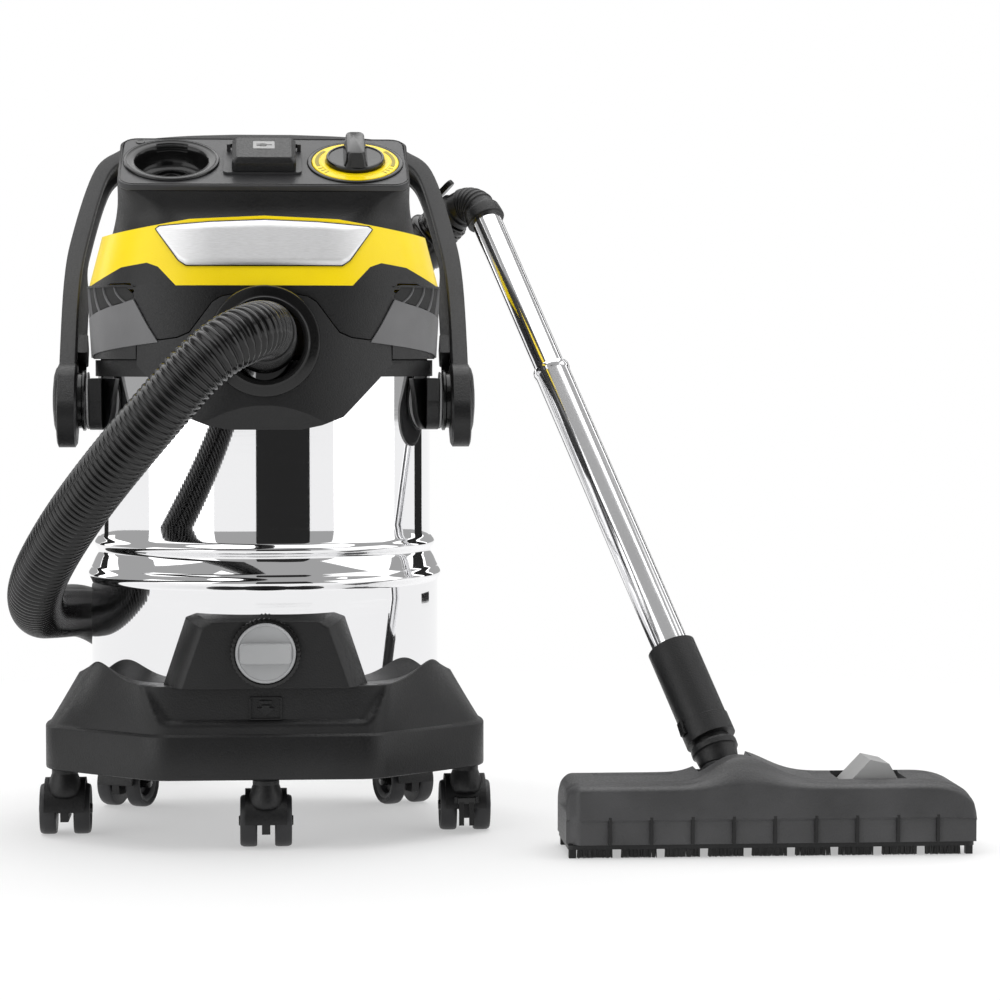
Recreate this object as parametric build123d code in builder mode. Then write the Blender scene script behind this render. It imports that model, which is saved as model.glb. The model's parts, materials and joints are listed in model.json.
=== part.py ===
"""Wet and dry shop vacuum. Millimetres, +Z up, front towards -Y.

The origin is on the drum's axis, at the floor under the castors.
"""
import os
from math import cos, pi, radians, sin, tan

from build123d import *

os.makedirs("parts", exist_ok=True)

# ---------------------------------------------------------------- driving dimensions
wall = 3.0
fit = 0.05
gap = 0.4

chassis_bottom = 68.0
band_top = 110.0
chassis_top = 157.0

drum_bottom = 100.0
drum_rim = 467.0
drum_low_r = 173.5
drum_r = 166.0
drum_wall = 1.2
bead_low_z = 254.0
bead_low_r = 177.0
bead_high_z = 285.0
bead_high_r = 170.5

collar_bottom = 451.0
collar_r = 168.6
inlet_z = 485.0
inlet_flange_r = 53.0
inlet_mouth_r = 37.0
inlet_bore_r = 40.0
inlet_face_y = -189.0
drain_z = 190.0
drain_cap_r = 31.0

head_bottom = 468.0
band_bottom = 538.0
band_top_z = 607.0
cover_bottom = 588.0

panel_tilt = 28.0
panel_y = -81.5
panel_z = 660.8
panel_thick = 7.0
panel_half_front = 141.0
panel_half_back = 137.0
panel_half_deep = 55.0
cup_u = -90.0
knob_u = 89.0

pivot_y = -40.0
pivot_z = 427.0
handle_lean = 42.0
handle_half_deep = 15.0

hose_r = 27.0
hose_bore_r = 22.0

wheel_r = 25.0
wheel_out = 26.5
castor_trail = 14.0
stem_r = 9.75
castor_places = {
    "front": (0.0, -172.0, 0.0),
    "left": (-197.0, -76.0, 0.0),
    "right": (197.0, -76.0, 0.0),
    "rear_left": (-150.0, 118.0, -25.0),
    "rear_right": (150.0, 118.0, 25.0),
}

nozzle_left = 281.0
nozzle_right = 669.0
nozzle_front = -266.0
nozzle_back = -156.0
nozzle_crease = 37.4
nozzle_top = 70.0

tube_top = Vector(231, 165, 623)
sleeve_end = Vector(430, -165, 99.6)
wand_dir = (sleeve_end - tube_top).normalized()
grip_corner = tube_top - wand_dir * 28
cuff_dir = Vector(0.62, -0.42, 0.66).normalized()
cuff_face = grip_corner - cuff_dir * 38
swivel_dir = Vector(0, 0.6, 0.8)
neck_corner = sleeve_end + wand_dir * 20
barrel_centre = neck_corner - swivel_dir * 34


# ---------------------------------------------------------------- helpers
def save(piece, name):
    """Label a finished piece and write its STEP file."""
    piece.part.label = name
    export_step(piece.part, f"parts/{name}.step")


def both_sides(points):
    """Close a half outline, given on +X, with its mirror image."""
    return points + mirrored(points)[::-1]


def mirrored(points):
    """The same outline on the other side of the machine."""
    return [(-x, y) for x, y in points]


def corner_radii(points):
    """The radius of each corner of a hose route, from its two runs and its turn."""
    radii = []
    for before, here, after in zip(points, points[1:], points[2:]):
        run_in = Vector(*here) - Vector(*before)
        run_out = Vector(*after) - Vector(*here)
        turn = run_in.get_angle(run_out)
        shorter = min(run_in.length, run_out.length)
        radii.append(0.45 * shorter / tan(radians(turn) / 2))
    return radii


def front_plane(y):
    """A plane facing the front, with x to the right and y up."""
    return Plane(origin=(0, y, 0), x_dir=(1, 0, 0), z_dir=(0, -1, 0))


def head_shell(low, high, low_half, high_half, radius_low, radius_high):
    """A rounded-square frustum between two heights, as a sketch pair for loft."""
    with BuildPart() as shell:
        with BuildSketch(Plane.XY.offset(low)):
            RectangleRounded(2 * low_half, 2 * low_half + 4, radius_low)
        with BuildSketch(Plane.XY.offset(high)):
            RectangleRounded(2 * high_half, 2 * high_half + 4, radius_high)
        loft()
    return shell.part


def front_prism(points, y_front, y_back):
    """A prism seen from the front as the outline of points (x, z)."""
    with BuildPart() as prism:
        with BuildSketch(front_plane(y_front)):
            Polygon(*points, align=None)
        extrude(amount=y_front - y_back)
    return prism.part


panel_plane = Plane(
    origin=(0, panel_y, panel_z),
    x_dir=(1, 0, 0),
    z_dir=(0, -sin(radians(panel_tilt)), cos(radians(panel_tilt))),
)
handle_plane = Plane(
    origin=(0, pivot_y, pivot_z),
    x_dir=(1, 0, 0),
    z_dir=(0, -cos(radians(handle_lean)), sin(radians(handle_lean))),
)
wand_plane = Plane(origin=tuple(tube_top), z_dir=tuple(wand_dir))

# ---------------------------------------------------------------- chassis
base_low = [(106, -192), (214, -96), (217, -50), (190, 130), (120, 186)]
base_high = [(112, -187), (160, -112), (186, -40), (172, 95), (100, 183)]
with BuildPart() as chassis:
    with BuildSketch(Plane.XY.offset(chassis_bottom)) as plan:
        Polygon(*both_sides(base_low), align=None)
        fillet(plan.vertices(), radius=14)
    extrude(amount=band_top - chassis_bottom)
    with BuildSketch(Plane.XY.offset(band_top)) as plan:
        Polygon(*both_sides([(x * 0.985, y * 0.985) for x, y in base_low]), align=None)
        fillet(plan.vertices(), radius=13)
    with BuildSketch(Plane.XY.offset(chassis_top)) as plan:
        Polygon(*both_sides(base_high), align=None)
        fillet(plan.vertices(), radius=13)
    loft()
    with BuildSketch(Plane.XY.offset(drum_bottom)):
        Circle(drum_low_r + gap)
    extrude(amount=chassis_top, mode=Mode.SUBTRACT)
    with BuildSketch(Plane.XY.offset(chassis_bottom)):
        Circle(125)
    extrude(amount=drum_bottom - chassis_bottom - 2 * wall, mode=Mode.SUBTRACT)
    with BuildSketch(Plane.XY.offset(chassis_bottom)):
        with Locations(*[(x, y) for x, y, turn in castor_places.values()]):
            Circle(stem_r + fit)
    extrude(amount=29, mode=Mode.SUBTRACT)
save(chassis, "chassis")

# ---------------------------------------------------------------- steel drum


def drum_outline(inset):
    """The drum's side from its floor to its rim, moved in by the sheet's thickness."""
    low = drum_low_r - inset
    high = drum_r - inset
    floor = drum_bottom + inset
    with BuildLine() as side:
        Line((0, floor), (low - 8, floor))
        ThreePointArc((low - 8, floor), (low - 2.3, floor + 2.3), (low, floor + 8))
        Line((low, floor + 8), (low, bead_low_z - 8))
        ThreePointArc((low, bead_low_z - 8), (bead_low_r - inset, bead_low_z), (low, bead_low_z + 8))
        neck_low = (high + 1, bead_high_z - 9)
        neck_high = (high, bead_high_z + 9)
        Line((low, bead_low_z + 8), neck_low)
        ThreePointArc(neck_low, (bead_high_r - inset, bead_high_z), neck_high)
        Line(neck_high, (high, drum_rim))
        Line((high, drum_rim), (0, drum_rim))
        Line((0, drum_rim), (0, floor))
    return side.line


with BuildPart() as drum:
    with BuildSketch(Plane.XZ):
        with BuildLine():
            add(drum_outline(0))
        make_face()
    revolve(axis=Axis.Z)
    with BuildSketch(Plane.XZ):
        with BuildLine():
            add(drum_outline(drum_wall))
        make_face()
    revolve(axis=Axis.Z, mode=Mode.SUBTRACT)
    with BuildSketch(front_plane(-210)):
        with Locations((0, inlet_z)):
            Circle(inlet_bore_r + 6)
        with Locations((0, drain_z)):
            Circle(17)
    extrude(amount=-100, mode=Mode.SUBTRACT)
save(drum, "drum")

# ---------------------------------------------------------------- drain
boss_outline = [(97, chassis_top), (74, 222), (58, 227)]
with BuildPart() as drain_boss:
    with BuildSketch(front_plane(-192)):
        Polygon(*both_sides(boss_outline), align=None)
    extrude(amount=-70)
    with BuildSketch(Plane.XY.offset(chassis_top)):
        Circle(drum_low_r + 0.1)
    extrude(amount=100, mode=Mode.SUBTRACT)
    with BuildSketch(front_plane(-192)):
        with Locations((0, drain_z)):
            Circle(17)
    extrude(amount=-60, mode=Mode.SUBTRACT)
save(drain_boss, "drain_boss")

with BuildPart() as drain_plug:
    with BuildSketch(front_plane(-192.4)):
        with Locations((0, drain_z)):
            Circle(34)
    extrude(amount=9)
    with BuildSketch(front_plane(-201.4)):
        with Locations((0, drain_z)):
            Circle(drain_cap_r)
    extrude(amount=3)
    with BuildSketch(front_plane(-204.4)):
        with Locations((0, drain_z)):
            RectangleRounded(58, 24, 4)
    extrude(amount=9)
    with BuildSketch(front_plane(-192.4)):
        with Locations((0, drain_z)):
            Circle(16.9)
    extrude(amount=-26)
save(drain_plug, "drain_plug")

# ---------------------------------------------------------------- inlet housing
shoulder = [
    (35, 401), (54, 405), (75, 413), (122, 462), (122, 486), (99, 486),
    (83, 488), (71, 493), (49, 522), (41, 527), (22, 530.5),
]
housing_block = front_prism(both_sides(shoulder), inlet_face_y, -140)
with BuildPart() as inlet_housing:
    add(housing_block)
    with BuildSketch(Plane.XY.offset(390)):
        Circle(-inlet_face_y)
    extrude(amount=160, mode=Mode.INTERSECT)
    with BuildSketch(Plane.XY.offset(390)):
        Circle(drum_r + 0.1)
    extrude(amount=drum_rim + 0.1 - 390, mode=Mode.SUBTRACT)
    with BuildSketch(Plane.XY.offset(collar_bottom)):
        Circle(collar_r)
        Circle(drum_r + 0.1, mode=Mode.SUBTRACT)
    extrude(amount=drum_rim - collar_bottom)
    with BuildSketch(Plane.YZ.offset(-130)):
        Polygon((-195, 424), (-188.9, 424), (-176, 400), (-195, 396), align=None)
    extrude(amount=260, mode=Mode.SUBTRACT)
    with BuildSketch(front_plane(-190)):
        with Locations((0, inlet_z)):
            Circle(inlet_bore_r)
    extrude(amount=-80, mode=Mode.SUBTRACT)
save(inlet_housing, "inlet_housing")

with BuildPart() as inlet_ring:
    with BuildSketch(front_plane(inlet_face_y)):
        with Locations((0, inlet_z)):
            Circle(inlet_flange_r)
            Circle(inlet_mouth_r, mode=Mode.SUBTRACT)
    extrude(amount=9)
    fillet(inlet_ring.edges().group_by(Axis.Y)[0], radius=3)
    with BuildSketch(front_plane(inlet_face_y)):
        with Locations((0, inlet_z)):
            Circle(inlet_bore_r - 0.05)
            Circle(inlet_mouth_r, mode=Mode.SUBTRACT)
    extrude(amount=-30)
    with BuildSketch(front_plane(inlet_face_y + 30)):
        with Locations((0, inlet_z)):
            Circle(inlet_bore_r - 0.05)
            Circle(25, mode=Mode.SUBTRACT)
    extrude(amount=-19)
save(inlet_ring, "inlet_ring")

# ---------------------------------------------------------------- hose and its cuffs
cuff_tilt = 7.0
cuff_axis = Vector(0, -cos(radians(cuff_tilt)), sin(radians(cuff_tilt)))
cuff_start = Vector(0, -165, inlet_z)
cuff_plane = Plane(origin=tuple(cuff_start), x_dir=(1, 0, 0), z_dir=tuple(cuff_axis))
cuff_length = 72.0
with BuildPart() as hose_inlet_cuff:
    with BuildSketch(cuff_plane.offset(10)):
        Circle(31.5)
        Circle(hose_bore_r, mode=Mode.SUBTRACT)
    extrude(amount=cuff_length - 10)
    with BuildSketch(front_plane(-159)):
        with Locations((0, inlet_z)):
            Circle(24.9)
            Circle(20, mode=Mode.SUBTRACT)
    extrude(amount=-16)
    with BuildSketch(front_plane(-159)):
        with Locations((0, inlet_z)):
            Circle(30)
            Circle(20, mode=Mode.SUBTRACT)
    extrude(amount=20)
save(hose_inlet_cuff, "hose_inlet_cuff")

hose_start = cuff_start + cuff_axis * cuff_length
hose_end = cuff_face - cuff_dir * 52
first_bend = hose_start + cuff_axis * 42
last_bend = hose_end - cuff_dir * 36
hose_route = [
    tuple(hose_start),
    tuple(first_bend),
    (-48, -318, 476),
    (-105, -302, 411),
    (-150, -262, 358),
    (-190, -205, 305),
    (-221, -138, 252),
    (-225, -62, 220),
    (-212, 22, 213),
    (-186, 112, 208),
    (-150, 210, 172),
    (-128, 310, 104),
    (-96, 410, 44),
    (-30, 480, 30),
    (52, 482, 29),
    (112, 425, 50),
    (132, 345, 118),
    (126, 292, 205),
    (122, 266, 300),
    (120, 268, 395),
    (124, 262, 480),
    tuple(last_bend),
    tuple(hose_end),
]
hose_radii = corner_radii(hose_route)
print("hose radii", [round(r) for r in hose_radii])
with BuildPart() as suction_hose:
    with BuildLine() as hose_line:
        FilletPolyline(*hose_route, radius=hose_radii)
    start_dir = (Vector(*hose_route[1]) - Vector(*hose_route[0])).normalized()
    with BuildSketch(Plane(origin=hose_route[0], z_dir=tuple(start_dir))):
        Circle(hose_r)
        Circle(hose_bore_r, mode=Mode.SUBTRACT)
    sweep(path=hose_line.wires()[0])
hose_section = pi * (hose_r**2 - hose_bore_r**2)
hose_length = hose_line.wires()[0].length
volume_ratio = suction_hose.part.volume / (hose_section * hose_length)
print("hose length", round(hose_length), "volume ratio", round(volume_ratio, 4))
save(suction_hose, "suction_hose")

grip_plane = Plane(origin=tuple(cuff_face), z_dir=tuple(cuff_dir))
with BuildPart() as hose_end_cuff:
    with BuildSketch(grip_plane.offset(-52)):
        Circle(29)
        Circle(hose_bore_r, mode=Mode.SUBTRACT)
    extrude(amount=26)
    with BuildSketch(grip_plane.offset(-26)):
        Circle(24)
        Circle(13, mode=Mode.SUBTRACT)
    extrude(amount=26 - gap)
    with BuildSketch(grip_plane.offset(-gap)):
        Circle(15.95)
        Circle(13, mode=Mode.SUBTRACT)
    extrude(amount=14)
save(hose_end_cuff, "hose_end_cuff")

# ---------------------------------------------------------------- grip and wand
with BuildPart() as grip_elbow:
    with BuildLine() as bend:
        FilletPolyline(tuple(cuff_face), tuple(grip_corner), tuple(tube_top + wand_dir * 12), radius=22)
    with BuildSketch(grip_plane):
        Circle(20.5)
    sweep(path=bend.wires()[0])
    with BuildSketch(grip_plane):
        Circle(21.5)
    extrude(amount=7)
    with BuildSketch(wand_plane.offset(4)):
        Circle(21.5)
    extrude(amount=8)
    with BuildSketch(grip_plane):
        Circle(12)
    sweep(path=bend.wires()[0], mode=Mode.SUBTRACT)
    with BuildSketch(grip_plane):
        Circle(16)
    extrude(amount=15, mode=Mode.SUBTRACT)
    with BuildSketch(wand_plane.offset(-10)):
        Circle(16)
    extrude(amount=30, mode=Mode.SUBTRACT)
save(grip_elbow, "grip_elbow")

slider_up = (Vector(-0.35, 0, 1) - cuff_dir * cuff_dir.dot(Vector(-0.35, 0, 1))).normalized()
slider_base = cuff_face + cuff_dir * 15 + slider_up * 21.9
slider_plane = Plane(origin=tuple(slider_base), x_dir=tuple(cuff_dir), z_dir=tuple(slider_up))
with BuildPart() as air_slider:
    with BuildSketch(slider_plane):
        SlotOverall(26, 13)
    extrude(amount=6)
    fillet(air_slider.faces().sort_by(Axis.Z)[-1].edges(), radius=1.5)
save(air_slider, "air_slider")

upper_length = 205.0
lower_length = 545.0
with BuildPart() as upper_tube:
    with BuildSketch(wand_plane.offset(-9.5)):
        Circle(16)
        Circle(14.8, mode=Mode.SUBTRACT)
    extrude(amount=upper_length + 9.5 + 45)
save(upper_tube, "upper_tube")

with BuildPart() as lower_tube:
    with BuildSketch(wand_plane.offset(upper_length)):
        Circle(18.5)
        Circle(16.05, mode=Mode.SUBTRACT)
    extrude(amount=46)
    with BuildSketch(wand_plane.offset(upper_length + 46)):
        Circle(18.5)
        Circle(17.1, mode=Mode.SUBTRACT)
    extrude(amount=lower_length - upper_length - 10)
    with BuildSketch(wand_plane.offset(upper_length)):
        Circle(19.6)
        Circle(16.05, mode=Mode.SUBTRACT)
    extrude(amount=8)
save(lower_tube, "lower_tube")

wand_total = (sleeve_end - tube_top).length
button_plane = Plane(
    origin=tuple(sleeve_end - wand_dir * 14),
    x_dir=tuple(wand_dir),
    z_dir=(-0.93, -0.36, 0),
)
with BuildPart() as nozzle_sleeve:
    with BuildSketch(wand_plane.offset(lower_length)):
        Circle(24)
        Circle(18.55, mode=Mode.SUBTRACT)
    extrude(amount=wand_total - lower_length - 20)
    with BuildSketch(wand_plane.offset(wand_total - 20)):
        Circle(25)
        Circle(17.55, mode=Mode.SUBTRACT)
    extrude(amount=20)
    with BuildSketch(button_plane.offset(19)):
        Rectangle(14.4, 8.4)
    extrude(amount=10, mode=Mode.SUBTRACT)
save(nozzle_sleeve, "nozzle_sleeve")

with BuildPart() as sleeve_button:
    with BuildSketch(button_plane.offset(21.2)):
        Rectangle(14, 8)
    extrude(amount=6.8)
save(sleeve_button, "sleeve_button")

# ---------------------------------------------------------------- nozzle
with BuildPart() as nozzle_neck:
    with BuildLine() as bend:
        FilletPolyline(
            tuple(sleeve_end - wand_dir * 19),
            tuple(neck_corner),
            tuple(barrel_centre + swivel_dir * 22.6),
            radius=10,
        )
    with BuildSketch(Plane(origin=tuple(sleeve_end - wand_dir * 19), z_dir=tuple(wand_dir))):
        Circle(17.5)
        Circle(13, mode=Mode.SUBTRACT)
    sweep(path=bend.wires()[0])
save(nozzle_neck, "nozzle_neck")

with BuildPart() as nozzle_barrel:
    with BuildSketch(Plane.YZ.offset(barrel_centre.X - 25)):
        with Locations((barrel_centre.Y, barrel_centre.Z)):
            Circle(19)
    extrude(amount=50)
    with BuildSketch(Plane.YZ.offset(barrel_centre.X - 31)):
        with Locations((barrel_centre.Y, barrel_centre.Z)):
            Circle(6)
    extrude(amount=62)
    with BuildSketch(Plane(origin=tuple(barrel_centre), z_dir=tuple(swivel_dir))):
        Circle(17.5)
    extrude(amount=22.2)
    with BuildSketch(Plane(origin=tuple(barrel_centre), z_dir=tuple(swivel_dir))):
        Circle(12.95)
    extrude(amount=30)
    with BuildSketch(Plane(origin=tuple(barrel_centre), z_dir=tuple(swivel_dir))):
        Circle(10)
    extrude(amount=31, mode=Mode.SUBTRACT)
    with BuildSketch(Plane.XY.offset(barrel_centre.Z)):
        with Locations((barrel_centre.X, barrel_centre.Y)):
            Circle(10)
    extrude(amount=-20, mode=Mode.SUBTRACT)
save(nozzle_barrel, "nozzle_barrel")

nozzle_floor = 13.0
roller_y = -143.0
roller_r = 11.0
front_outline = [
    (nozzle_left, nozzle_floor),
    (nozzle_right, nozzle_floor),
    (nozzle_right, nozzle_crease - 8),
    (nozzle_right - 4, 52),
    (nozzle_right - 22, 64),
    (nozzle_right - 72, nozzle_top),
    (nozzle_left + 16, nozzle_top),
    (nozzle_left + 4, 62),
    (nozzle_left, nozzle_crease),
]
pedal_x = 577.0
pedal_y = -202.0
rib_places = [321, 360, 399, 438, 477, 516, 555, 594, 632]
with BuildPart() as nozzle_body:
    with BuildSketch(front_plane(nozzle_front)):
        Polygon(*front_outline, align=None)
    extrude(amount=nozzle_front - nozzle_back)
    with BuildSketch(Plane.YZ.offset(nozzle_left - 5)):
        Polygon((-270, 60), (-258, 62), (-238, 72), (-270, 75), align=None)
        Polygon((-150, 30), (-156.5, 43), (-171, 72), (-150, 75), align=None)
    extrude(amount=400, mode=Mode.SUBTRACT)
    with BuildSketch(Plane.YZ.offset(nozzle_left - 5)):
        Polygon((-270, 12), (-263, 12), (-263, 35), (-266.1, 38.5), (-270, 38.5), align=None)
    extrude(amount=400, mode=Mode.SUBTRACT)
    with BuildSketch(front_plane(-263)):
        with Locations(*[(x, 25) for x in rib_places]):
            Rectangle(3.4, 23)
    extrude(amount=2.6)
    with BuildSketch(Plane.XY.offset(50)):
        with Locations((447, -203)):
            RectangleRounded(98, 74, 8)
    extrude(amount=42, taper=10)
    with BuildSketch(Plane.XY.offset(36)):
        with Locations((barrel_centre.X, -176)):
            Rectangle(51, 84)
    extrude(amount=60, mode=Mode.SUBTRACT)
    with BuildSketch(Plane.YZ.offset(barrel_centre.X - 31.2)):
        with Locations((barrel_centre.Y, barrel_centre.Z)):
            Circle(6.05)
    extrude(amount=62.4, mode=Mode.SUBTRACT)
    with BuildSketch(Plane.XY.offset(nozzle_floor)):
        with Locations((475, -211)):
            Rectangle(372, 92)
    extrude(amount=13, mode=Mode.SUBTRACT)
    with BuildSketch(Plane.XY.offset(20)):
        with Locations((barrel_centre.X, barrel_centre.Y)):
            Circle(15)
    extrude(amount=25, mode=Mode.SUBTRACT)
    with BuildSketch(Plane.XY.offset(50)):
        with Locations((pedal_x, pedal_y)):
            Rectangle(66, 62)
    extrude(amount=30, mode=Mode.SUBTRACT)
    with BuildSketch(Plane.YZ.offset(312)):
        Polygon((-158, 18), (-158, 32), (-139, 16), (-139, 7), (-147, 7), align=None)
    extrude(amount=8)
    with BuildSketch(Plane.YZ.offset(630)):
        Polygon((-158, 18), (-158, 32), (-139, 16), (-139, 7), (-147, 7), align=None)
    extrude(amount=8)
    with BuildSketch(Plane.YZ.offset(310)):
        with Locations((roller_y, roller_r)):
            Circle(2.05)
    extrude(amount=330, mode=Mode.SUBTRACT)
    with BuildSketch(front_plane(-236)):
        with Locations((pedal_x, 62)):
            Circle(3.05)
    extrude(amount=-68, mode=Mode.SUBTRACT)
save(nozzle_body, "nozzle_body")

with BuildPart() as nozzle_rollers:
    with BuildSketch(Plane.YZ.offset(306)):
        with Locations((roller_y, roller_r)):
            Circle(2)
    extrude(amount=338)
    for x in (322, 614):
        with BuildSketch(Plane.YZ.offset(x)):
            with Locations((roller_y, roller_r)):
                Circle(roller_r)
        extrude(amount=14)
save(nozzle_rollers, "nozzle_rollers")

with BuildPart() as nozzle_base_plate:
    with BuildSketch(Plane.XY.offset(9)):
        with Locations((475, -211)):
            RectangleRounded(386, 100, 6)
            RectangleRounded(330, 26, 6, mode=Mode.SUBTRACT)
    extrude(amount=nozzle_floor - 9)
save(nozzle_base_plate, "nozzle_base_plate")

with BuildPart() as brush_strips:
    for y in (-253, -170):
        with BuildSketch(Plane.XY):
            with Locations((475, y)):
                Rectangle(378, 7)
        extrude(amount=9)
save(brush_strips, "brush_strips")

pedal_outline = [(-28, 2.5), (28, 2.5), (28, 5), (15, 27), (-3, 31), (-28, 5)]
with BuildPart() as foot_pedal:
    with BuildSketch(front_plane(pedal_y - 27)):
        Polygon(*[(pedal_x + x, 56 + z) for x, z in pedal_outline], align=None)
    extrude(amount=-54)
    with BuildSketch(front_plane(pedal_y - 32.4)):
        with Locations((pedal_x, 62)):
            Circle(3)
    extrude(amount=-64.8)
save(foot_pedal, "foot_pedal")

# ---------------------------------------------------------------- pivots and handle
bracket_outline = [
    (pivot_y - 34, collar_bottom - 1),
    (pivot_y + 34, collar_bottom - 1),
    (pivot_y + 22, 380),
    (pivot_y, 340),
    (pivot_y - 22, 380),
]
with BuildPart() as pivot_brackets:
    for side in (-1, 1):
        with BuildSketch(Plane.YZ.offset(side * 173)):
            Polygon(*bracket_outline, align=None)
        extrude(amount=-side * 23)
        with BuildSketch(Plane.YZ.offset(side * 173)):
            with Locations((pivot_y, pivot_z)):
                Circle(27)
        extrude(amount=side * 2)
        with BuildSketch(Plane.YZ.offset(side * 173)):
            with Locations((pivot_y, pivot_z)):
                Circle(8)
        extrude(amount=side * 29)
    with BuildSketch(Plane.XY.offset(330)):
        Circle(drum_r + 0.05)
    extrude(amount=140, mode=Mode.SUBTRACT)
save(pivot_brackets, "pivot_brackets")

handle_outer = [
    (203, 0), (203, 145), (196, 220), (177, 309),
    (152, 338), (131, 353), (88, 360), (30, 363),
]
handle_inner = [
    (186, 0), (186, 137), (179, 211), (162, 299),
    (140, 325), (122, 338), (85, 345), (30, 347),
]
with BuildPart() as carry_handle:
    with BuildSketch(handle_plane.offset(handle_half_deep)) as outline:
        Polygon(*both_sides(handle_outer), *both_sides(handle_inner)[::-1], align=None)
        bends = outline.vertices().filter_by(lambda v: 40 < abs(v.X) < 200 and v.Z > 500)
        fillet(bends, radius=14)
    extrude(amount=-2 * handle_half_deep)
    for side in (-1, 1):
        with BuildSketch(Plane.YZ.offset(side * 175.4)):
            with Locations((pivot_y, pivot_z)):
                Circle(30)
        extrude(amount=side * 28)
        with BuildSketch(handle_plane.offset(handle_half_deep - 3)):
            with Locations((side * 192, -32)):
                Rectangle(14, 62)
        extrude(amount=-2 * (handle_half_deep - 3))
        with BuildSketch(Plane.YZ.offset(side * 170)):
            with Locations((pivot_y, pivot_z)):
                Circle(8.05)
        extrude(amount=side * 32.4, mode=Mode.SUBTRACT)
save(carry_handle, "carry_handle")

with BuildPart() as handle_caps:
    for side in (-1, 1):
        with BuildSketch(Plane.YZ.offset(side * 203.4)):
            with Locations((pivot_y, pivot_z)):
                Circle(37)
        extrude(amount=side * 5)
    fillet(handle_caps.edges().group_by(Axis.X)[0], radius=3)
    fillet(handle_caps.edges().group_by(Axis.X)[-1], radius=3)
save(handle_caps, "handle_caps")

with BuildPart() as latch_hooks:
    for side in (-1, 1):
        with BuildSketch(handle_plane.offset(11)):
            with Locations((side * 181, 66)):
                RectangleRounded(10, 24, 2)
        extrude(amount=-22)
save(latch_hooks, "latch_hooks")

# ---------------------------------------------------------------- head: housing, band, badge
housing_solid = head_shell(head_bottom, band_bottom, 168, 172, 120, 124)
housing_hollow = head_shell(head_bottom, band_bottom, 165, 169, 117, 121)
band_solid = head_shell(band_bottom, band_top_z, 172, 154, 124, 108)
band_hollow = head_shell(band_bottom, band_top_z, 168, 150, 120, 104)
ear_points = [(-171, band_bottom), (-137, 556), (-112, 560), (-101, 556), (-84, band_bottom)]
ear_prisms = front_prism(ear_points, -200, -20) + front_prism(mirrored(ear_points), -200, -20)
ear_pieces = (band_solid - band_hollow) & ear_prisms
shoulder_gap = [
    (35, 460), (122.8, 460), (122.8, 487), (99.4, 487), (83.5, 489),
    (71.6, 494), (49.6, 523), (41.4, 528), (22, 531.5),
]
notch = front_prism(both_sides(shoulder_gap), -220, -120)

vent_zone = [(-166, 507), (-164, 533), (-138, 545), (-130, 545), (-124, 533), (-127, 527)]
slot_heights = [509, 515, 521, 527, 533, 539]


def vent_cutters():
    """Six level slots on each front corner, trimmed to the vent's slanted outline."""
    with BuildPart() as slots:
        for side in (-1, 1):
            with BuildSketch(front_plane(-180)):
                Polygon(*(vent_zone if side < 0 else mirrored(vent_zone)), align=None)
                with Locations(*[(side * 145, z) for z in slot_heights]):
                    Rectangle(60, 3.4, mode=Mode.INTERSECT)
            extrude(amount=-120)
    return slots.part


vent_slots = vent_cutters()
with BuildPart() as head_housing:
    add(housing_solid)
    add(housing_hollow, mode=Mode.SUBTRACT)
    add(ear_pieces)
    add(notch, mode=Mode.SUBTRACT)
    add(vent_slots, mode=Mode.SUBTRACT)
    with BuildSketch(Plane.XZ.offset(-190)):
        with Locations((0, 505)):
            Circle(19)
    extrude(amount=60, mode=Mode.SUBTRACT)
save(head_housing, "head_housing")

above_arch = both_sides([(0, 604.8), (71, 601.5), (153, 588), (180, 585), (180, 620)])
arch_cut = front_prism(above_arch, -200, 200)
with BuildPart() as accent_band:
    add(band_solid)
    add(band_hollow, mode=Mode.SUBTRACT)
    add(ear_prisms, mode=Mode.SUBTRACT)
    add(arch_cut, mode=Mode.SUBTRACT)
save(accent_band, "accent_band")

plate_points = [(-72, 557), (72, 557), (79, 562), (103, 593), (0, 601), (-103, 593), (-79, 562)]
plate_prism = front_prism(plate_points, -200, -60)
plate_skin = head_shell(band_bottom, band_top_z, 174, 156, 126, 110) - band_solid
plate_solid = plate_skin & plate_prism
with BuildPart() as badge_plate:
    add(plate_solid)
save(badge_plate, "badge_plate")

panel_points = [(-190, 462), (-101, 485), (-136, 556), (-190, 556)]
panel_prisms = front_prism(panel_points, -200, 20) + front_prism(mirrored(panel_points), -200, 20)
skin = head_shell(head_bottom, band_bottom, 170, 174, 122, 126) - housing_solid
panel_skins = (skin & panel_prisms) - vent_slots - notch
with BuildPart() as vent_panels:
    add(panel_skins)
save(vent_panels, "vent_panels")

# ---------------------------------------------------------------- head: cover and panel
cover_outline = [
    (-149, cover_bottom), (-137, 612), (-126, 628), (-29, 680), (-8, 686),
    (30, 680), (100, 655), (150, 606), (152, cover_bottom),
]
cover_hollow_outline = [
    (-144, cover_bottom - 1), (-133, 610), (-123, 623), (-28, 674), (-8, 680),
    (29, 674), (98, 650), (145, 604), (147, cover_bottom - 1),
]


def side_prism(points, half_wide):
    """A prism along X from a side outline of (y, z) points."""
    with BuildPart() as prism:
        with BuildSketch(Plane.YZ.offset(-half_wide)):
            Polygon(*points, align=None)
        extrude(amount=2 * half_wide)
    return prism.part


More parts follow.
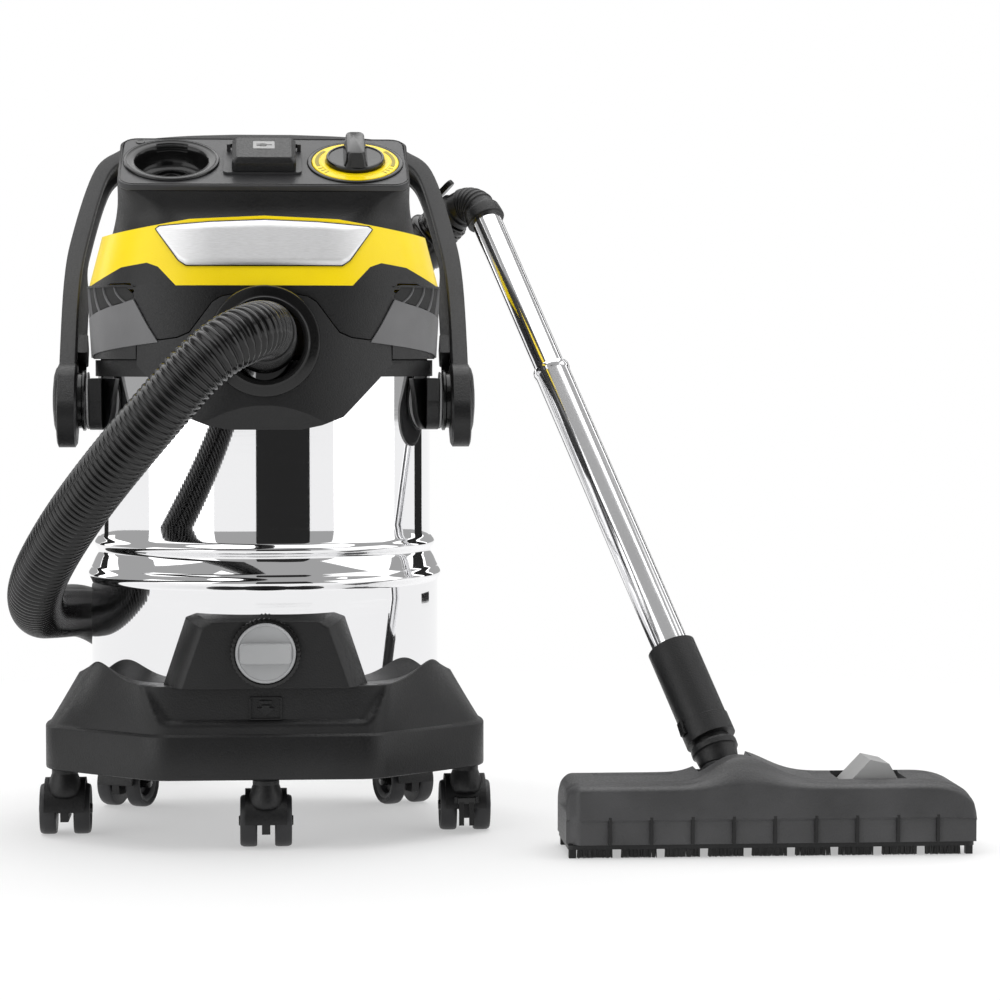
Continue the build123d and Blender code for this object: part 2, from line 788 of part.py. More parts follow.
cover_taper = head_shell(cover_bottom, 700, 149, 137, 102, 60)
cover_hollow_taper = head_shell(cover_bottom - 1, 700, 146, 134, 99, 57)
cover_solid = side_prism(cover_outline, 160) & cover_taper
cover_hollow = side_prism(cover_hollow_outline, 150) & cover_hollow_taper
with BuildPart() as head_cover:
    add(cover_solid)
    add(cover_hollow, mode=Mode.SUBTRACT)
    with BuildSketch(panel_plane.offset(10)):
        Rectangle(260, 84)
    extrude(amount=-40, mode=Mode.SUBTRACT)
save(head_cover, "head_cover")

with BuildPart() as top_panel:
    with BuildSketch(panel_plane) as plan:
        Polygon(
            (-panel_half_front, -panel_half_deep),
            (panel_half_front, -panel_half_deep),
            (panel_half_back, panel_half_deep),
            (-panel_half_back, panel_half_deep),
            align=None,
        )
        fillet(plan.vertices(), radius=15)
    extrude(amount=-panel_thick)
    fillet(top_panel.faces().sort_by(Axis.Z)[-1].edges(), radius=2)
    with BuildSketch(panel_plane):
        with Locations((cup_u, 0)):
            Circle(40)
        with Locations((knob_u, -3)):
            Circle(6)
        with Locations((0, -4)):
            Rectangle(58, 46)
    extrude(amount=-20, mode=Mode.SUBTRACT)
save(top_panel, "top_panel")

with BuildPart() as storage_cup:
    with BuildSketch(panel_plane):
        with Locations((cup_u, 0)):
            Circle(46.8)
    extrude(amount=2.4)
    with BuildSketch(panel_plane):
        with Locations((cup_u, 0)):
            Circle(39.95)
    extrude(amount=-30)
    with BuildSketch(panel_plane.offset(2.4)):
        with Locations((cup_u, 0)):
            Circle(35)
    extrude(amount=-24.4, mode=Mode.SUBTRACT)
    with BuildSketch(panel_plane.offset(-22)):
        with Locations((cup_u, 0)):
            Circle(20)
            Circle(11, mode=Mode.SUBTRACT)
    extrude(amount=-4, mode=Mode.SUBTRACT)
save(storage_cup, "storage_cup")

with BuildPart() as knob_ring:
    with BuildSketch(panel_plane):
        with Locations((knob_u, -3)):
            Circle(42.5)
            Circle(8, mode=Mode.SUBTRACT)
    extrude(amount=2)
save(knob_ring, "knob_ring")

with BuildPart() as control_knob:
    with BuildSketch(panel_plane.offset(2.5)):
        with Locations((knob_u, -3)):
            Circle(28.5)
    extrude(amount=5)
    with BuildSketch(panel_plane.offset(7.5)):
        with Locations((knob_u, -3)):
            RectangleRounded(23, 54, 6)
    extrude(amount=15, taper=3)
    with BuildSketch(panel_plane.offset(2.5)):
        with Locations((knob_u, -3)):
            Circle(4)
    extrude(amount=-26)
save(control_knob, "control_knob")

with BuildPart() as rotary_switch:
    with BuildSketch(panel_plane.offset(-panel_thick)):
        with Locations((knob_u, -3)):
            RectangleRounded(42, 42, 4)
            Circle(4.05, mode=Mode.SUBTRACT)
    extrude(amount=-20)
save(rotary_switch, "rotary_switch")

hinge_v = 22.3
hinge_h = 6.5


def hinge_plane(u):
    """A plane square to the lid's hinge, at a distance u across the panel."""
    origin = panel_plane.from_local_coords((u, 0, 0))
    return Plane(origin=origin, x_dir=panel_plane.y_dir, z_dir=(1, 0, 0))


with BuildPart() as socket_box:
    with BuildSketch(panel_plane):
        with Locations((-1.5, -3)):
            RectangleRounded(76, 56, 5)
        with Locations((0, -4)):
            Rectangle(54, 42, mode=Mode.SUBTRACT)
    extrude(amount=2.6)
    with BuildSketch(panel_plane):
        with Locations((0, -4)):
            Rectangle(57.8, 45.8)
            Rectangle(54, 42, mode=Mode.SUBTRACT)
    extrude(amount=-22)
    with BuildSketch(panel_plane.offset(-22)):
        with Locations((0, -4)):
            Rectangle(57.8, 45.8)
    extrude(amount=-2.4)
    for side in (-1, 1):
        with BuildSketch(hinge_plane(side * 34.4 - 1.8)):
            with Locations((hinge_v - 0.5, 4.9)):
                Rectangle(7, 9.8)
            with Locations((hinge_v, hinge_h)):
                Circle(2.05, mode=Mode.SUBTRACT)
        extrude(amount=3.6)
save(socket_box, "socket_box")

with BuildPart() as socket_insert:
    with BuildSketch(panel_plane.offset(-22)):
        with Locations((0, -4)):
            Circle(19.5)
    extrude(amount=12)
    with BuildSketch(panel_plane.offset(-10)):
        with Locations((0, -4)):
            Circle(17)
    extrude(amount=-6, mode=Mode.SUBTRACT)
    with BuildSketch(panel_plane.offset(-16)):
        with Locations((-9.5, -4), (9.5, -4)):
            Circle(2.5)
    extrude(amount=-5, mode=Mode.SUBTRACT)
save(socket_insert, "socket_insert")

with BuildPart() as socket_lid:
    with BuildSketch(panel_plane.offset(3)):
        with Locations((0, -4)):
            RectangleRounded(62, 54, 4)
    extrude(amount=14)
    with BuildSketch(panel_plane.offset(2.9)):
        with Locations((0, -4)):
            RectangleRounded(57, 49, 3)
    extrude(amount=11.5, mode=Mode.SUBTRACT)
    with BuildSketch(hinge_plane(-36)):
        with Locations((hinge_v, hinge_h)):
            Circle(2)
    extrude(amount=72)
save(socket_lid, "socket_lid")

# ---------------------------------------------------------------- head: inside
with BuildPart() as head_base_plate:
    with BuildSketch(Plane.XY.offset(head_bottom)):
        RectangleRounded(2 * 164.5, 2 * 166, 116)
        with Locations((0, -190)):
            Rectangle(400, 140, mode=Mode.SUBTRACT)
        Circle(30, mode=Mode.SUBTRACT)
    extrude(amount=4)
save(head_base_plate, "head_base_plate")

with BuildPart() as head_seal:
    with BuildSketch(Plane.XY.offset(462)):
        Circle(163.5)
        Circle(158, mode=Mode.SUBTRACT)
        with Locations((0, -190)):
            Rectangle(400, 140, mode=Mode.SUBTRACT)
    extrude(amount=head_bottom - 462)
save(head_seal, "head_seal")

with BuildPart() as fan_housing:
    with BuildSketch(Plane.XY.offset(472)):
        Circle(72)
        Circle(30, mode=Mode.SUBTRACT)
    extrude(amount=3)
    with BuildSketch(Plane.XY.offset(475)):
        Circle(72)
        Circle(68, mode=Mode.SUBTRACT)
    extrude(amount=30)
    with BuildSketch(Plane.XY.offset(505)):
        Circle(72)
        Circle(4.05, mode=Mode.SUBTRACT)
    extrude(amount=4)
save(fan_housing, "fan_housing")

with BuildPart() as fan_rotor:
    with BuildSketch(Plane.XY.offset(482)):
        Circle(60)
    extrude(amount=3)
    with BuildSketch(Plane.XY.offset(485)):
        with PolarLocations(36, 9):
            Rectangle(38, 2.4, rotation=25)
    extrude(amount=13)
    with BuildSketch(Plane.XY.offset(482)):
        Circle(12)
    extrude(amount=18)
    with BuildSketch(Plane.XY.offset(480)):
        Circle(4)
    extrude(amount=95)
save(fan_rotor, "fan_rotor")

with BuildPart() as motor:
    with BuildSketch(Plane.XY.offset(509)):
        Circle(46)
        Circle(4.05, mode=Mode.SUBTRACT)
    extrude(amount=72)
    with BuildSketch(Plane.XY.offset(581)):
        Circle(18)
    extrude(amount=12)
save(motor, "motor")

cage_low = 336.0
cage_high = 452.0
with BuildPart() as filter_cage:
    with BuildSketch(Plane.XY.offset(cage_high)):
        Circle(46)
        Circle(29, mode=Mode.SUBTRACT)
    extrude(amount=head_bottom - cage_high)
    with BuildSketch(Plane.XY.offset(cage_low)):
        Circle(36)
        Circle(33, mode=Mode.SUBTRACT)
    extrude(amount=cage_high - cage_low)
    with BuildSketch(Plane.XY.offset(cage_low - 4)):
        Circle(46)
    extrude(amount=4)
    with BuildSketch(Plane.XZ.offset(-60)):
        with Locations(*[(0, z) for z in range(352, 440, 16)]):
            Rectangle(30, 9)
    extrude(amount=120, mode=Mode.SUBTRACT)
save(filter_cage, "filter_cage")

filter_r = 70.0
filter_bore_r = 46.2
pleats = 40
with BuildPart() as filter_cartridge:
    with BuildSketch(Plane.XY.offset(cage_low)):
        Circle(filter_r)
        with PolarLocations(filter_r + 2, pleats):
            Rectangle(9, 4, mode=Mode.SUBTRACT)
        Circle(filter_bore_r, mode=Mode.SUBTRACT)
    extrude(amount=cage_high - cage_low)
    for end in (cage_low - 10, cage_high - 1):
        with BuildSketch(Plane.XY.offset(end)):
            Circle(filter_r)
            Circle(filter_bore_r, mode=Mode.SUBTRACT)
        extrude(amount=10)
save(filter_cartridge, "filter_cartridge")

float_r = 20.0
float_low = cage_low + 0.3
with BuildPart() as float_ball:
    with BuildSketch(Plane.XZ):
        with BuildLine():
            ThreePointArc((0, float_low), (float_r, float_low + float_r), (0, float_low + 2 * float_r))
            Line((0, float_low + 2 * float_r), (0, float_low))
        make_face()
    revolve(axis=Axis.Z)
save(float_ball, "float_ball")

with BuildPart() as blower_port:
    with BuildSketch(Plane.XZ.offset(-169)):
        with Locations((0, 505)):
            Circle(25)
            Circle(19, mode=Mode.SUBTRACT)
    extrude(amount=-18)
    add(housing_solid, mode=Mode.SUBTRACT)
save(blower_port, "blower_port")

with BuildPart() as cord_gland:
    with BuildSketch(Plane.XZ.offset(-168)):
        with Locations((70, 500)):
            Circle(11)
            Circle(4, mode=Mode.SUBTRACT)
    extrude(amount=-10)
    with BuildSketch(Plane.XZ.offset(-178)):
        with Locations((70, 500)):
            Circle(8)
            Circle(4, mode=Mode.SUBTRACT)
    extrude(amount=-8)
    add(housing_solid, mode=Mode.SUBTRACT)
save(cord_gland, "cord_gland")

# ---------------------------------------------------------------- castors


def castor_plane(place):
    """The castor's own frame: origin on the floor under its stem, y along its trail."""
    x, y, turn = castor_places[place]
    return Plane(origin=(x, y, 0), x_dir=(cos(radians(turn)), sin(radians(turn)), 0), z_dir=(0, 0, 1))


def castor_side(place, offset):
    """The castor's side plane (x along the trail, y up) moved along its axle."""
    frame = castor_plane(place)
    origin = frame.from_local_coords((offset, 0, 0))
    return Plane(origin=origin, x_dir=frame.y_dir, z_dir=frame.x_dir)


def make_castor_fork(place):
    """Stem, cone, hood over the wheels and the web that holds the axle."""
    with BuildPart() as fork:
        with BuildSketch(castor_side(place, -20)):
            with Locations((castor_trail, wheel_r)):
                Circle(31)
                Circle(27.5, mode=Mode.SUBTRACT)
                with Locations((0, -28)):
                    Rectangle(80, 56, mode=Mode.SUBTRACT)
        extrude(amount=40)
        with BuildSketch(castor_side(place, -4)):
            with Locations((castor_trail, wheel_r)):
                Circle(28.5)
                with Locations((0, -34)):
                    Rectangle(80, 48, mode=Mode.SUBTRACT)
        extrude(amount=8)
        with BuildSketch(castor_plane(place).offset(66)):
            Circle(stem_r + 3)
        extrude(amount=-18)
        with BuildSketch(castor_plane(place).offset(96)):
            Circle(stem_r)
        extrude(amount=-45)
        with BuildSketch(castor_side(place, -22)):
            with Locations((castor_trail, wheel_r)):
                Circle(27.5)
        extrude(amount=18, mode=Mode.SUBTRACT)
        with BuildSketch(castor_side(place, 4)):
            with Locations((castor_trail, wheel_r)):
                Circle(27.5)
        extrude(amount=18, mode=Mode.SUBTRACT)
        with BuildSketch(castor_side(place, -5)):
            with Locations((castor_trail, wheel_r)):
                Circle(4.05)
        extrude(amount=10, mode=Mode.SUBTRACT)
        if place == "right":
            for offset in (-12, 9):
                with BuildSketch(castor_side(place, offset)):
                    with Locations((-18.5, 34)):
                        Rectangle(7, 6)
                        Circle(1.55, mode=Mode.SUBTRACT)
                extrude(amount=3)
    return fork


def make_castor_wheels(place):
    """Two discs on one axle."""
    with BuildPart() as wheels:
        with BuildSketch(castor_side(place, -wheel_out)):
            with Locations((castor_trail, wheel_r)):
                Circle(wheel_r)
        extrude(amount=wheel_out - 5)
        with BuildSketch(castor_side(place, 5)):
            with Locations((castor_trail, wheel_r)):
                Circle(wheel_r)
        extrude(amount=wheel_out - 5)
        fillet(wheels.edges().filter_by(GeomType.CIRCLE), radius=2)
        with BuildSketch(castor_side(place, -8)):
            with Locations((castor_trail, wheel_r)):
                Circle(4)
        extrude(amount=16)
    return wheels


for place in castor_places:
    save(make_castor_fork(place), f"castor_fork_{place}")
    save(make_castor_wheels(place), f"castor_wheels_{place}")

with BuildPart() as brake_lever:
    with BuildSketch(castor_side("right", -8.7)):
        with Locations((-19, 34)):
            Circle(2.6)
        Polygon((-22, 36), (-20, 36), (-20, 30), (-22, 30), align=None)
    extrude(amount=17.4)
    with BuildSketch(castor_side("right", -11.5)):
        with Locations((-18.5, 34)):
            Circle(1.5)
    extrude(amount=23)
    for offset in (-7.5, 2.5):
        with BuildSketch(castor_side("right", offset)):
            Polygon((-22, 32), (-20.2, 32), (-21.5, 9), (-23.5, 9), align=None)
        extrude(amount=5)
save(brake_lever, "brake_lever")
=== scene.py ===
"""Looks for the shop vacuum: metres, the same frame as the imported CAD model."""
import json
import random
from math import atan2, cos, exp, pi, radians, sin, sqrt

import bmesh
import bpy
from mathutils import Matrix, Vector


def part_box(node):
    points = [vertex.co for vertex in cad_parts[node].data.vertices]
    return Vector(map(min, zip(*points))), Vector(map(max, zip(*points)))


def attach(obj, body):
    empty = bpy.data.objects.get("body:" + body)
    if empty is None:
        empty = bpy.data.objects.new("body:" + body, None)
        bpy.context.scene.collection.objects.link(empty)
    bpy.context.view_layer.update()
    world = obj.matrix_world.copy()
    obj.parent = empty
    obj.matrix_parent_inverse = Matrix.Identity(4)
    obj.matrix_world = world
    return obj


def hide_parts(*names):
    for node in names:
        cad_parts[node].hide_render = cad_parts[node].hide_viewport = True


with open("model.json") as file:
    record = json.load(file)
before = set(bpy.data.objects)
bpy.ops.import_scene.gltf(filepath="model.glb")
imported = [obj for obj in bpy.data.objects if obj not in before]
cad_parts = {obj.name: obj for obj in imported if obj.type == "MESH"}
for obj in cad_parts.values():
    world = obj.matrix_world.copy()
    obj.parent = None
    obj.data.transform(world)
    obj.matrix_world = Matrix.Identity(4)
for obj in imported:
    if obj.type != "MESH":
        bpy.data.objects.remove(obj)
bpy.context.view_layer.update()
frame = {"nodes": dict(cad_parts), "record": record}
nodes = frame["nodes"]
scene = bpy.context.scene

# ------------------------------------------------------------------ camera
camera_data = bpy.data.cameras.new("camera")
camera_data.lens = 114.2
camera_data.sensor_width = 36.0
camera = bpy.data.objects.new("camera", camera_data)
camera.location = (0.0, -3.2, 0.47)
camera.rotation_euler = (radians(90 - 2.58), 0.0, radians(-4.24))
scene.collection.objects.link(camera)
scene.camera = camera
scene.view_settings.view_transform = "Standard"
scene.view_settings.look = "None"


# ------------------------------------------------------------------ mesh helpers
def smooth_step(value):
    """A soft 0 to 1 ramp."""
    value = min(max(value, 0.0), 1.0)
    return value * value * (3 - 2 * value)


def make_object(name, points, faces, material, body=None, smooth=True):
    """A mesh object from points in metres, riding on a body."""
    mesh = bpy.data.meshes.new(name)
    mesh.from_pydata([tuple(p) for p in points], [], faces)
    mesh.validate()
    bm = bmesh.new()
    bm.from_mesh(mesh)
    bmesh.ops.remove_doubles(bm, verts=bm.verts, dist=1e-6)
    bmesh.ops.recalc_face_normals(bm, faces=bm.faces)
    bm.to_mesh(mesh)
    bm.free()
    mesh.polygons.foreach_set("use_smooth", [smooth] * len(mesh.polygons))
    mesh.materials.append(material)
    obj = bpy.data.objects.new(name, mesh)
    scene.collection.objects.link(obj)
    if body:
        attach(obj, body)
    return obj


def sharpen(obj, angle=35):
    """Marks creases sharper than the angle, so smooth shading stops at them."""
    bm = bmesh.new()
    bm.from_mesh(obj.data)
    for edge in bm.edges:
        if len(edge.link_faces) == 2 and edge.calc_face_angle(0) > radians(angle):
            edge.smooth = False
    bm.to_mesh(obj.data)
    bm.free()
    return obj


def soften(obj, width, segments=2, angle=30):
    """A bevel on the sharper edges."""
    bevel = obj.modifiers.new("bevel", "BEVEL")
    bevel.width = width
    bevel.segments = segments
    bevel.limit_method = "ANGLE"
    bevel.angle_limit = radians(angle)
    bevel.harden_normals = True
    return obj


def loft(name, rings, material, body, caps=True, smooth=True):
    """Joins closed rings of equal point counts."""
    count = len(rings[0])
    points = [p for ring in rings for p in ring]
    faces = []
    for r in range(len(rings) - 1):
        for i in range(count):
            j = (i + 1) % count
            faces.append((r * count + i, r * count + j, (r + 1) * count + j, (r + 1) * count + i))
    if caps:
        faces.append(tuple(range(count))[::-1])
        faces.append(tuple((len(rings) - 1) * count + i for i in range(count)))
    return make_object(name, points, faces, material, body, smooth)


def frame_axes(axis):
    """Two directions square to an axis."""
    axis = Vector(axis).normalized()
    helper = Vector((0, 0, 1)) if abs(axis.z) < 0.9 else Vector((1, 0, 0))
    u = axis.cross(helper).normalized()
    return axis, u, axis.cross(u).normalized()


def round_offset(u, v, turn, radius):
    """The step from a centre to a point of a circle; turn runs from 0 to 1."""
    return (u * cos(2 * pi * turn) + v * sin(2 * pi * turn)) * radius


def lathe(name, profile, origin, axis, material, body, segments=96, closed=False):
    """Turns (radius, height) points round an axis through origin."""
    axis, u, v = frame_axes(axis)
    origin = Vector(origin)
    rings = []
    for radius, height in profile:
        rings.append([
            origin + axis * height + round_offset(u, v, k / segments, max(radius, 1e-5))
            for k in range(segments)
        ])
    if closed:
        rings.append(rings[0])
    return loft(name, rings, material, body, caps=not closed)


# ------------------------------------------------------------------ materials
def new_material(name, base, roughness, metallic=0.0):
    """A principled material; returns its tree's parts."""
    material = bpy.data.materials.new(name)
    material.use_nodes = True
    tree = material.node_tree
    shader = tree.nodes["Principled BSDF"]
    shader.inputs["Base Color"].default_value = (*base, 1)
    shader.inputs["Roughness"].default_value = roughness
    shader.inputs["Metallic"].default_value = metallic
    shader.inputs["Specular IOR Level"].default_value = 0.4
    return material, tree, shader


def noise(tree, scale, detail=2.0, stretch=None):
    """A noise texture in object space."""
    coords = tree.nodes.new("ShaderNodeTexCoord")
    texture = tree.nodes.new("ShaderNodeTexNoise")
    texture.inputs["Scale"].default_value = scale
    texture.inputs["Detail"].default_value = detail
    if stretch:
        mapping = tree.nodes.new("ShaderNodeMapping")
        mapping.inputs["Scale"].default_value = stretch
        tree.links.new(coords.outputs["Object"], mapping.inputs["Vector"])
        tree.links.new(mapping.outputs["Vector"], texture.inputs["Vector"])
    else:
        tree.links.new(coords.outputs["Object"], texture.inputs["Vector"])
    return texture.outputs["Fac"]


def span(tree, value, low, high, out_low, out_high):
    """Maps a value from one range to another, clamped."""
    node = tree.nodes.new("ShaderNodeMapRange")
    node.inputs["From Min"].default_value = low
    node.inputs["From Max"].default_value = high
    node.inputs["To Min"].default_value = out_low
    node.inputs["To Max"].default_value = out_high
    tree.links.new(value, node.inputs["Value"])
    return node.outputs["Result"]


def shade_between(tree, value, dark, light):
    """A colour that runs from dark to light with a value."""
    ramp = tree.nodes.new("ShaderNodeValToRGB")
    ramp.color_ramp.elements[0].color = (*dark, 1)
    ramp.color_ramp.elements[1].color = (*light, 1)
    tree.links.new(value, ramp.inputs["Fac"])
    return ramp.outputs["Color"]


def grained(name, dark, light, rough_low, rough_high, grain=1400.0, depth=0.00012, edge=0.0006):
    """Moulded plastic: fine spark-eroded grain, slow colour drift and softly rounded edges."""
    material, tree, shader = new_material(name, light, rough_low)
    fine = noise(tree, grain, 3.0)
    broad = noise(tree, 14.0, 4.0)
    tree.links.new(shade_between(tree, span(tree, broad, 0.3, 0.7, 0, 1), dark, light),
                   shader.inputs["Base Color"])
    tree.links.new(span(tree, fine, 0.3, 0.7, rough_low, rough_high), shader.inputs["Roughness"])
    rounding = tree.nodes.new("ShaderNodeBevel")
    rounding.samples = 4
    rounding.inputs["Radius"].default_value = edge
    bump = tree.nodes.new("ShaderNodeBump")
    bump.inputs["Strength"].default_value = 0.6
    bump.inputs["Distance"].default_value = depth
    tree.links.new(fine, bump.inputs["Height"])
    tree.links.new(rounding.outputs["Normal"], bump.inputs["Normal"])
    tree.links.new(bump.outputs["Normal"], shader.inputs["Normal"])
    return material


def polished(name, colour, rough_low, rough_high, stretch, scale=60.0):
    """Bright metal with faint drawn lines."""
    material, tree, shader = new_material(name, colour, rough_low, 1.0)
    lines = noise(tree, scale, 5.0, stretch)
    tree.links.new(span(tree, lines, 0.35, 0.7, rough_low, rough_high), shader.inputs["Roughness"])
    tint = shade_between(tree, noise(tree, 6.0, 2.0), tuple(0.95 * c for c in colour), colour)
    tree.links.new(tint, shader.inputs["Base Color"])
    return material


def brushed(name):
    """Cross-brushed steel plate with wavy horizontal strokes."""
    material, tree, shader = new_material(name, (0.86, 0.86, 0.87), 0.32, 1.0)
    strokes = noise(tree, 160.0, 10.0, (1.0, 1.0, 26.0))
    colours = shade_between(tree, span(tree, strokes, 0.25, 0.75, 0, 1), (0.76, 0.76, 0.76),
                            (0.94, 0.94, 0.95))
    tree.links.new(colours, shader.inputs["Base Color"])
    tree.links.new(span(tree, strokes, 0.3, 0.7, 0.5, 0.62), shader.inputs["Roughness"])
    bump = tree.nodes.new("ShaderNodeBump")
    bump.inputs["Strength"].default_value = 0.25
    bump.inputs["Distance"].default_value = 0.0001
    tree.links.new(strokes, bump.inputs["Height"])
    tree.links.new(bump.outputs["Normal"], shader.inputs["Normal"])
    return material


housing = grained("housing_plastic", (0.0055, 0.0055, 0.0058), (0.0105, 0.0105, 0.011), 0.30, 0.52,
                  grain=620.0, depth=0.00042)
nozzle_grey = grained("nozzle_plastic", (0.042, 0.042, 0.043), (0.068, 0.068, 0.070), 0.34, 0.56,
                      grain=520.0, depth=0.00055)
panel_grey = grained("panel_plastic", (0.030, 0.030, 0.031), (0.042, 0.042, 0.044), 0.32, 0.46,
                     grain=900.0, depth=0.0002)
vent_grey = grained("vent_plastic", (0.120, 0.120, 0.123), (0.165, 0.165, 0.168), 0.34, 0.46, grain=900.0,
                    depth=0.0001)
gloss_black = grained("gloss_plastic", (0.005, 0.005, 0.005), (0.009, 0.009, 0.009), 0.14, 0.24,
                      grain=500.0, depth=0.00002)
yellow = grained("yellow_plastic", (0.93, 0.68, 0.0), (1.0, 0.76, 0.0), 0.26, 0.36, grain=1200.0,
                 depth=0.00003)
mid_grey = grained("mid_grey_plastic", (0.34, 0.345, 0.35), (0.41, 0.415, 0.42), 0.3, 0.42, depth=0.00005)
light_grey = grained("light_grey_plastic", (0.30, 0.30, 0.30), (0.38, 0.38, 0.38), 0.4, 0.55, depth=0.00008)
hose_black = grained("hose_plastic", (0.004, 0.004, 0.004), (0.007, 0.007, 0.007), 0.12, 0.18,
                     grain=300.0, depth=0.00002, edge=0.0002)
# The seal rubber also serves as painted shade: a dark sheet in the head's vent openings.
rubber_and_vent_shade = grained("seal_rubber", (0.015, 0.015, 0.015), (0.022, 0.022, 0.022), 0.6, 0.8, grain=900.0)
tread = grained("wheel_tread", (0.020, 0.020, 0.021), (0.030, 0.030, 0.032), 0.32, 0.5, grain=700.0)
paper = grained("filter_paper", (0.70, 0.67, 0.60), (0.82, 0.79, 0.72), 0.85, 0.95, grain=600.0,
                depth=0.0002)
motor_grey = grained("motor_paint", (0.16, 0.16, 0.17), (0.24, 0.24, 0.25), 0.4, 0.6)
bristle_black = grained("bristle_nylon", (0.010, 0.010, 0.010), (0.03, 0.03, 0.03), 0.35, 0.6, grain=200.0)
steel = polished("mirror_steel", (0.88, 0.88, 0.89), 0.02, 0.05, (1.0, 1.0, 30.0), 20.0)
chrome = polished("chrome_tube", (0.92, 0.92, 0.93), 0.10, 0.14, (1.0, 1.0, 1.0), 20.0)
plate_steel = brushed("brushed_plate")

record_slot_material = {
    "housing_plastic": housing,
    "panel_plastic": panel_grey,
    "gloss_plastic_black": gloss_black,
    "yellow_plastic": yellow,
    "grey_plastic": mid_grey,
    "light_grey_plastic": light_grey,
    "drum_steel": steel,
    "brushed_plate": plate_steel,
    "chrome_tube": chrome,
    "hose_plastic": hose_black,
    "seal_rubber": rubber_and_vent_shade,
    "filter_paper": paper,
    "bristle": bristle_black,
    "motor_metal": motor_grey,
    "wheel_tread": tread,
}
for entry in frame["record"]["subparts"]:
    cad_node = nodes[entry["node"]]
    finish_material = record_slot_material[entry["material_slot"]]
    for material_slot in cad_node.material_slots:
        material_slot.material = finish_material

# ------------------------------------------------------------------ suction hose
hose_radius = 0.027
hose_route = [
    (0.0, -0.236463, 0.493775), (0.0, -0.27815, 0.498893), (-0.048, -0.318, 0.476),
    (-0.105, -0.302, 0.411), (-0.15, -0.262, 0.358), (-0.19, -0.205, 0.305),
    (-0.221, -0.138, 0.252), (-0.225, -0.062, 0.22), (-0.212, 0.022, 0.213),
    (-0.186, 0.112, 0.208), (-0.15, 0.21, 0.172), (-0.128, 0.31, 0.104),
    (-0.096, 0.41, 0.044), (-0.03, 0.48, 0.03), (0.052, 0.482, 0.029),
    (0.112, 0.425, 0.05), (0.132, 0.345, 0.118), (0.126, 0.292, 0.205),
    (0.122, 0.266, 0.3), (0.12, 0.268, 0.395), (0.124, 0.262, 0.48),
    (0.144167, 0.232231, 0.562238), (0.166527, 0.217084, 0.586041),
]


def spline_curve(name, points):
    """An open order-3 NURBS curve through its end points."""
    curve = bpy.data.curves.new(name, "CURVE")
    curve.dimensions = "3D"
    curve.resolution_u = 24
    spline = curve.splines.new("NURBS")
    spline.points.add(len(points) - 1)
    for control, point in zip(spline.points, points):
        control.co = (*point, 1.0)
    spline.order_u = 3
    spline.use_endpoint_u = True
    return bpy.data.objects.new(name, curve)


def centreline(points):
    """The points that the route's spline passes, as Blender evaluates it."""
    guide = spline_curve("hose_guide", points)
    line = bpy.data.meshes.new_from_object(guide)
    found = [v.co.copy() for v in line.vertices]
    bpy.data.meshes.remove(line)
    bpy.data.objects.remove(guide)
    return found


def even_steps(line, step):
    """Points and directions at even distances along a line of points."""
    places = []
    travelled = 0.0
    wanted = 0.0
    for a, b in zip(line, line[1:]):
        run = (b - a).length
        while wanted <= travelled + run:
            share = (wanted - travelled) / run
            places.append((a.lerp(b, share), (b - a).normalized()))
            wanted += step
        travelled += run
    places.append((line[-1].copy(), (line[-1] - line[-2]).normalized()))
    return places, travelled


def ribbed_tube(name, line, radius, pitch, depth, material, body):
    """A corrugated hose: rounded ribs with narrow grooves between them."""
    per_rib = 8
    places, length = even_steps(line, pitch / per_rib)
    segments = 48
    up = Vector((1, 0, 0))
    rings = []
    for index, (point, direction) in enumerate(places):
        side = (up - direction * up.dot(direction)).normalized()
        up = side
        across = direction.cross(side)
        phase = (index % per_rib) / per_rib
        crown = sin(pi * phase) ** 0.55 if phase else 0.0
        if index in (0, len(places) - 1):
            crown = 0.5
        r = radius - depth + depth * crown
        rings.append([point + round_offset(side, across, k / segments, r) for k in range(segments)])
    return loft(name, rings, material, body), length


hose_line = centreline([Vector(p) for p in hose_route])
hose, hose_length = ribbed_tube("corrugated_hose", hose_line, hose_radius, 0.0064, 0.0032, hose_black,
                                "base")
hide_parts("suction_hose")

# ------------------------------------------------------------------ steel drum
sheet = 0.0012


def bead(z, half, base, crest, steps=12):
    """A rolled bead: a smooth swell between two heights."""
    return [(base + (crest - base) * 0.5 * (1 + cos(pi * t / steps)), z + half * t / steps)
            for t in range(-steps, steps + 1)]


drum_low, drum_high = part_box("drum")
low_r, high_r = 0.1735, 0.166
drum_side = [(0.001, drum_low.z), (low_r - 0.008, drum_low.z)]
drum_side += [(low_r - 0.008 + 0.008 * sin(a * pi / 16), drum_low.z + 0.008 - 0.008 * cos(a * pi / 16))
              for a in range(1, 9)]
drum_side += [(low_r, z / 1000) for z in range(115, 245, 10)]
drum_side += bead(0.254, 0.008, low_r, 0.1768)
drum_side += [(low_r - 0.001, 0.2632), (0.1695, 0.2705), (0.1672, 0.2745)]
drum_side += bead(0.285, 0.008, 0.1665, 0.1704)
drum_side += [(high_r, z / 1000) for z in range(296, 467, 10)]
drum_side += [(high_r, drum_high.z)]
inner_side = [(max(r - sheet, 0.0005), z + (sheet if z < 0.101 else 0)) for r, z in drum_side]
drum_shell = lathe("drum_shell", drum_side + inner_side[::-1], (0, 0, 0), (0, 0, 1), steel, "base", 256,
                   closed=True)
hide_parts("drum")

# ------------------------------------------------------------------ local frames
def local_frame(origin, u_axis, normal):
    """A function from (u, v, height) to a place, for a flat working plane."""
    origin = Vector(origin)
    u_axis = Vector(u_axis).normalized()
    normal = Vector(normal).normalized()
    v_axis = normal.cross(u_axis)
    return lambda u, v, h=0.0: origin + u_axis * u + v_axis * v + normal * h


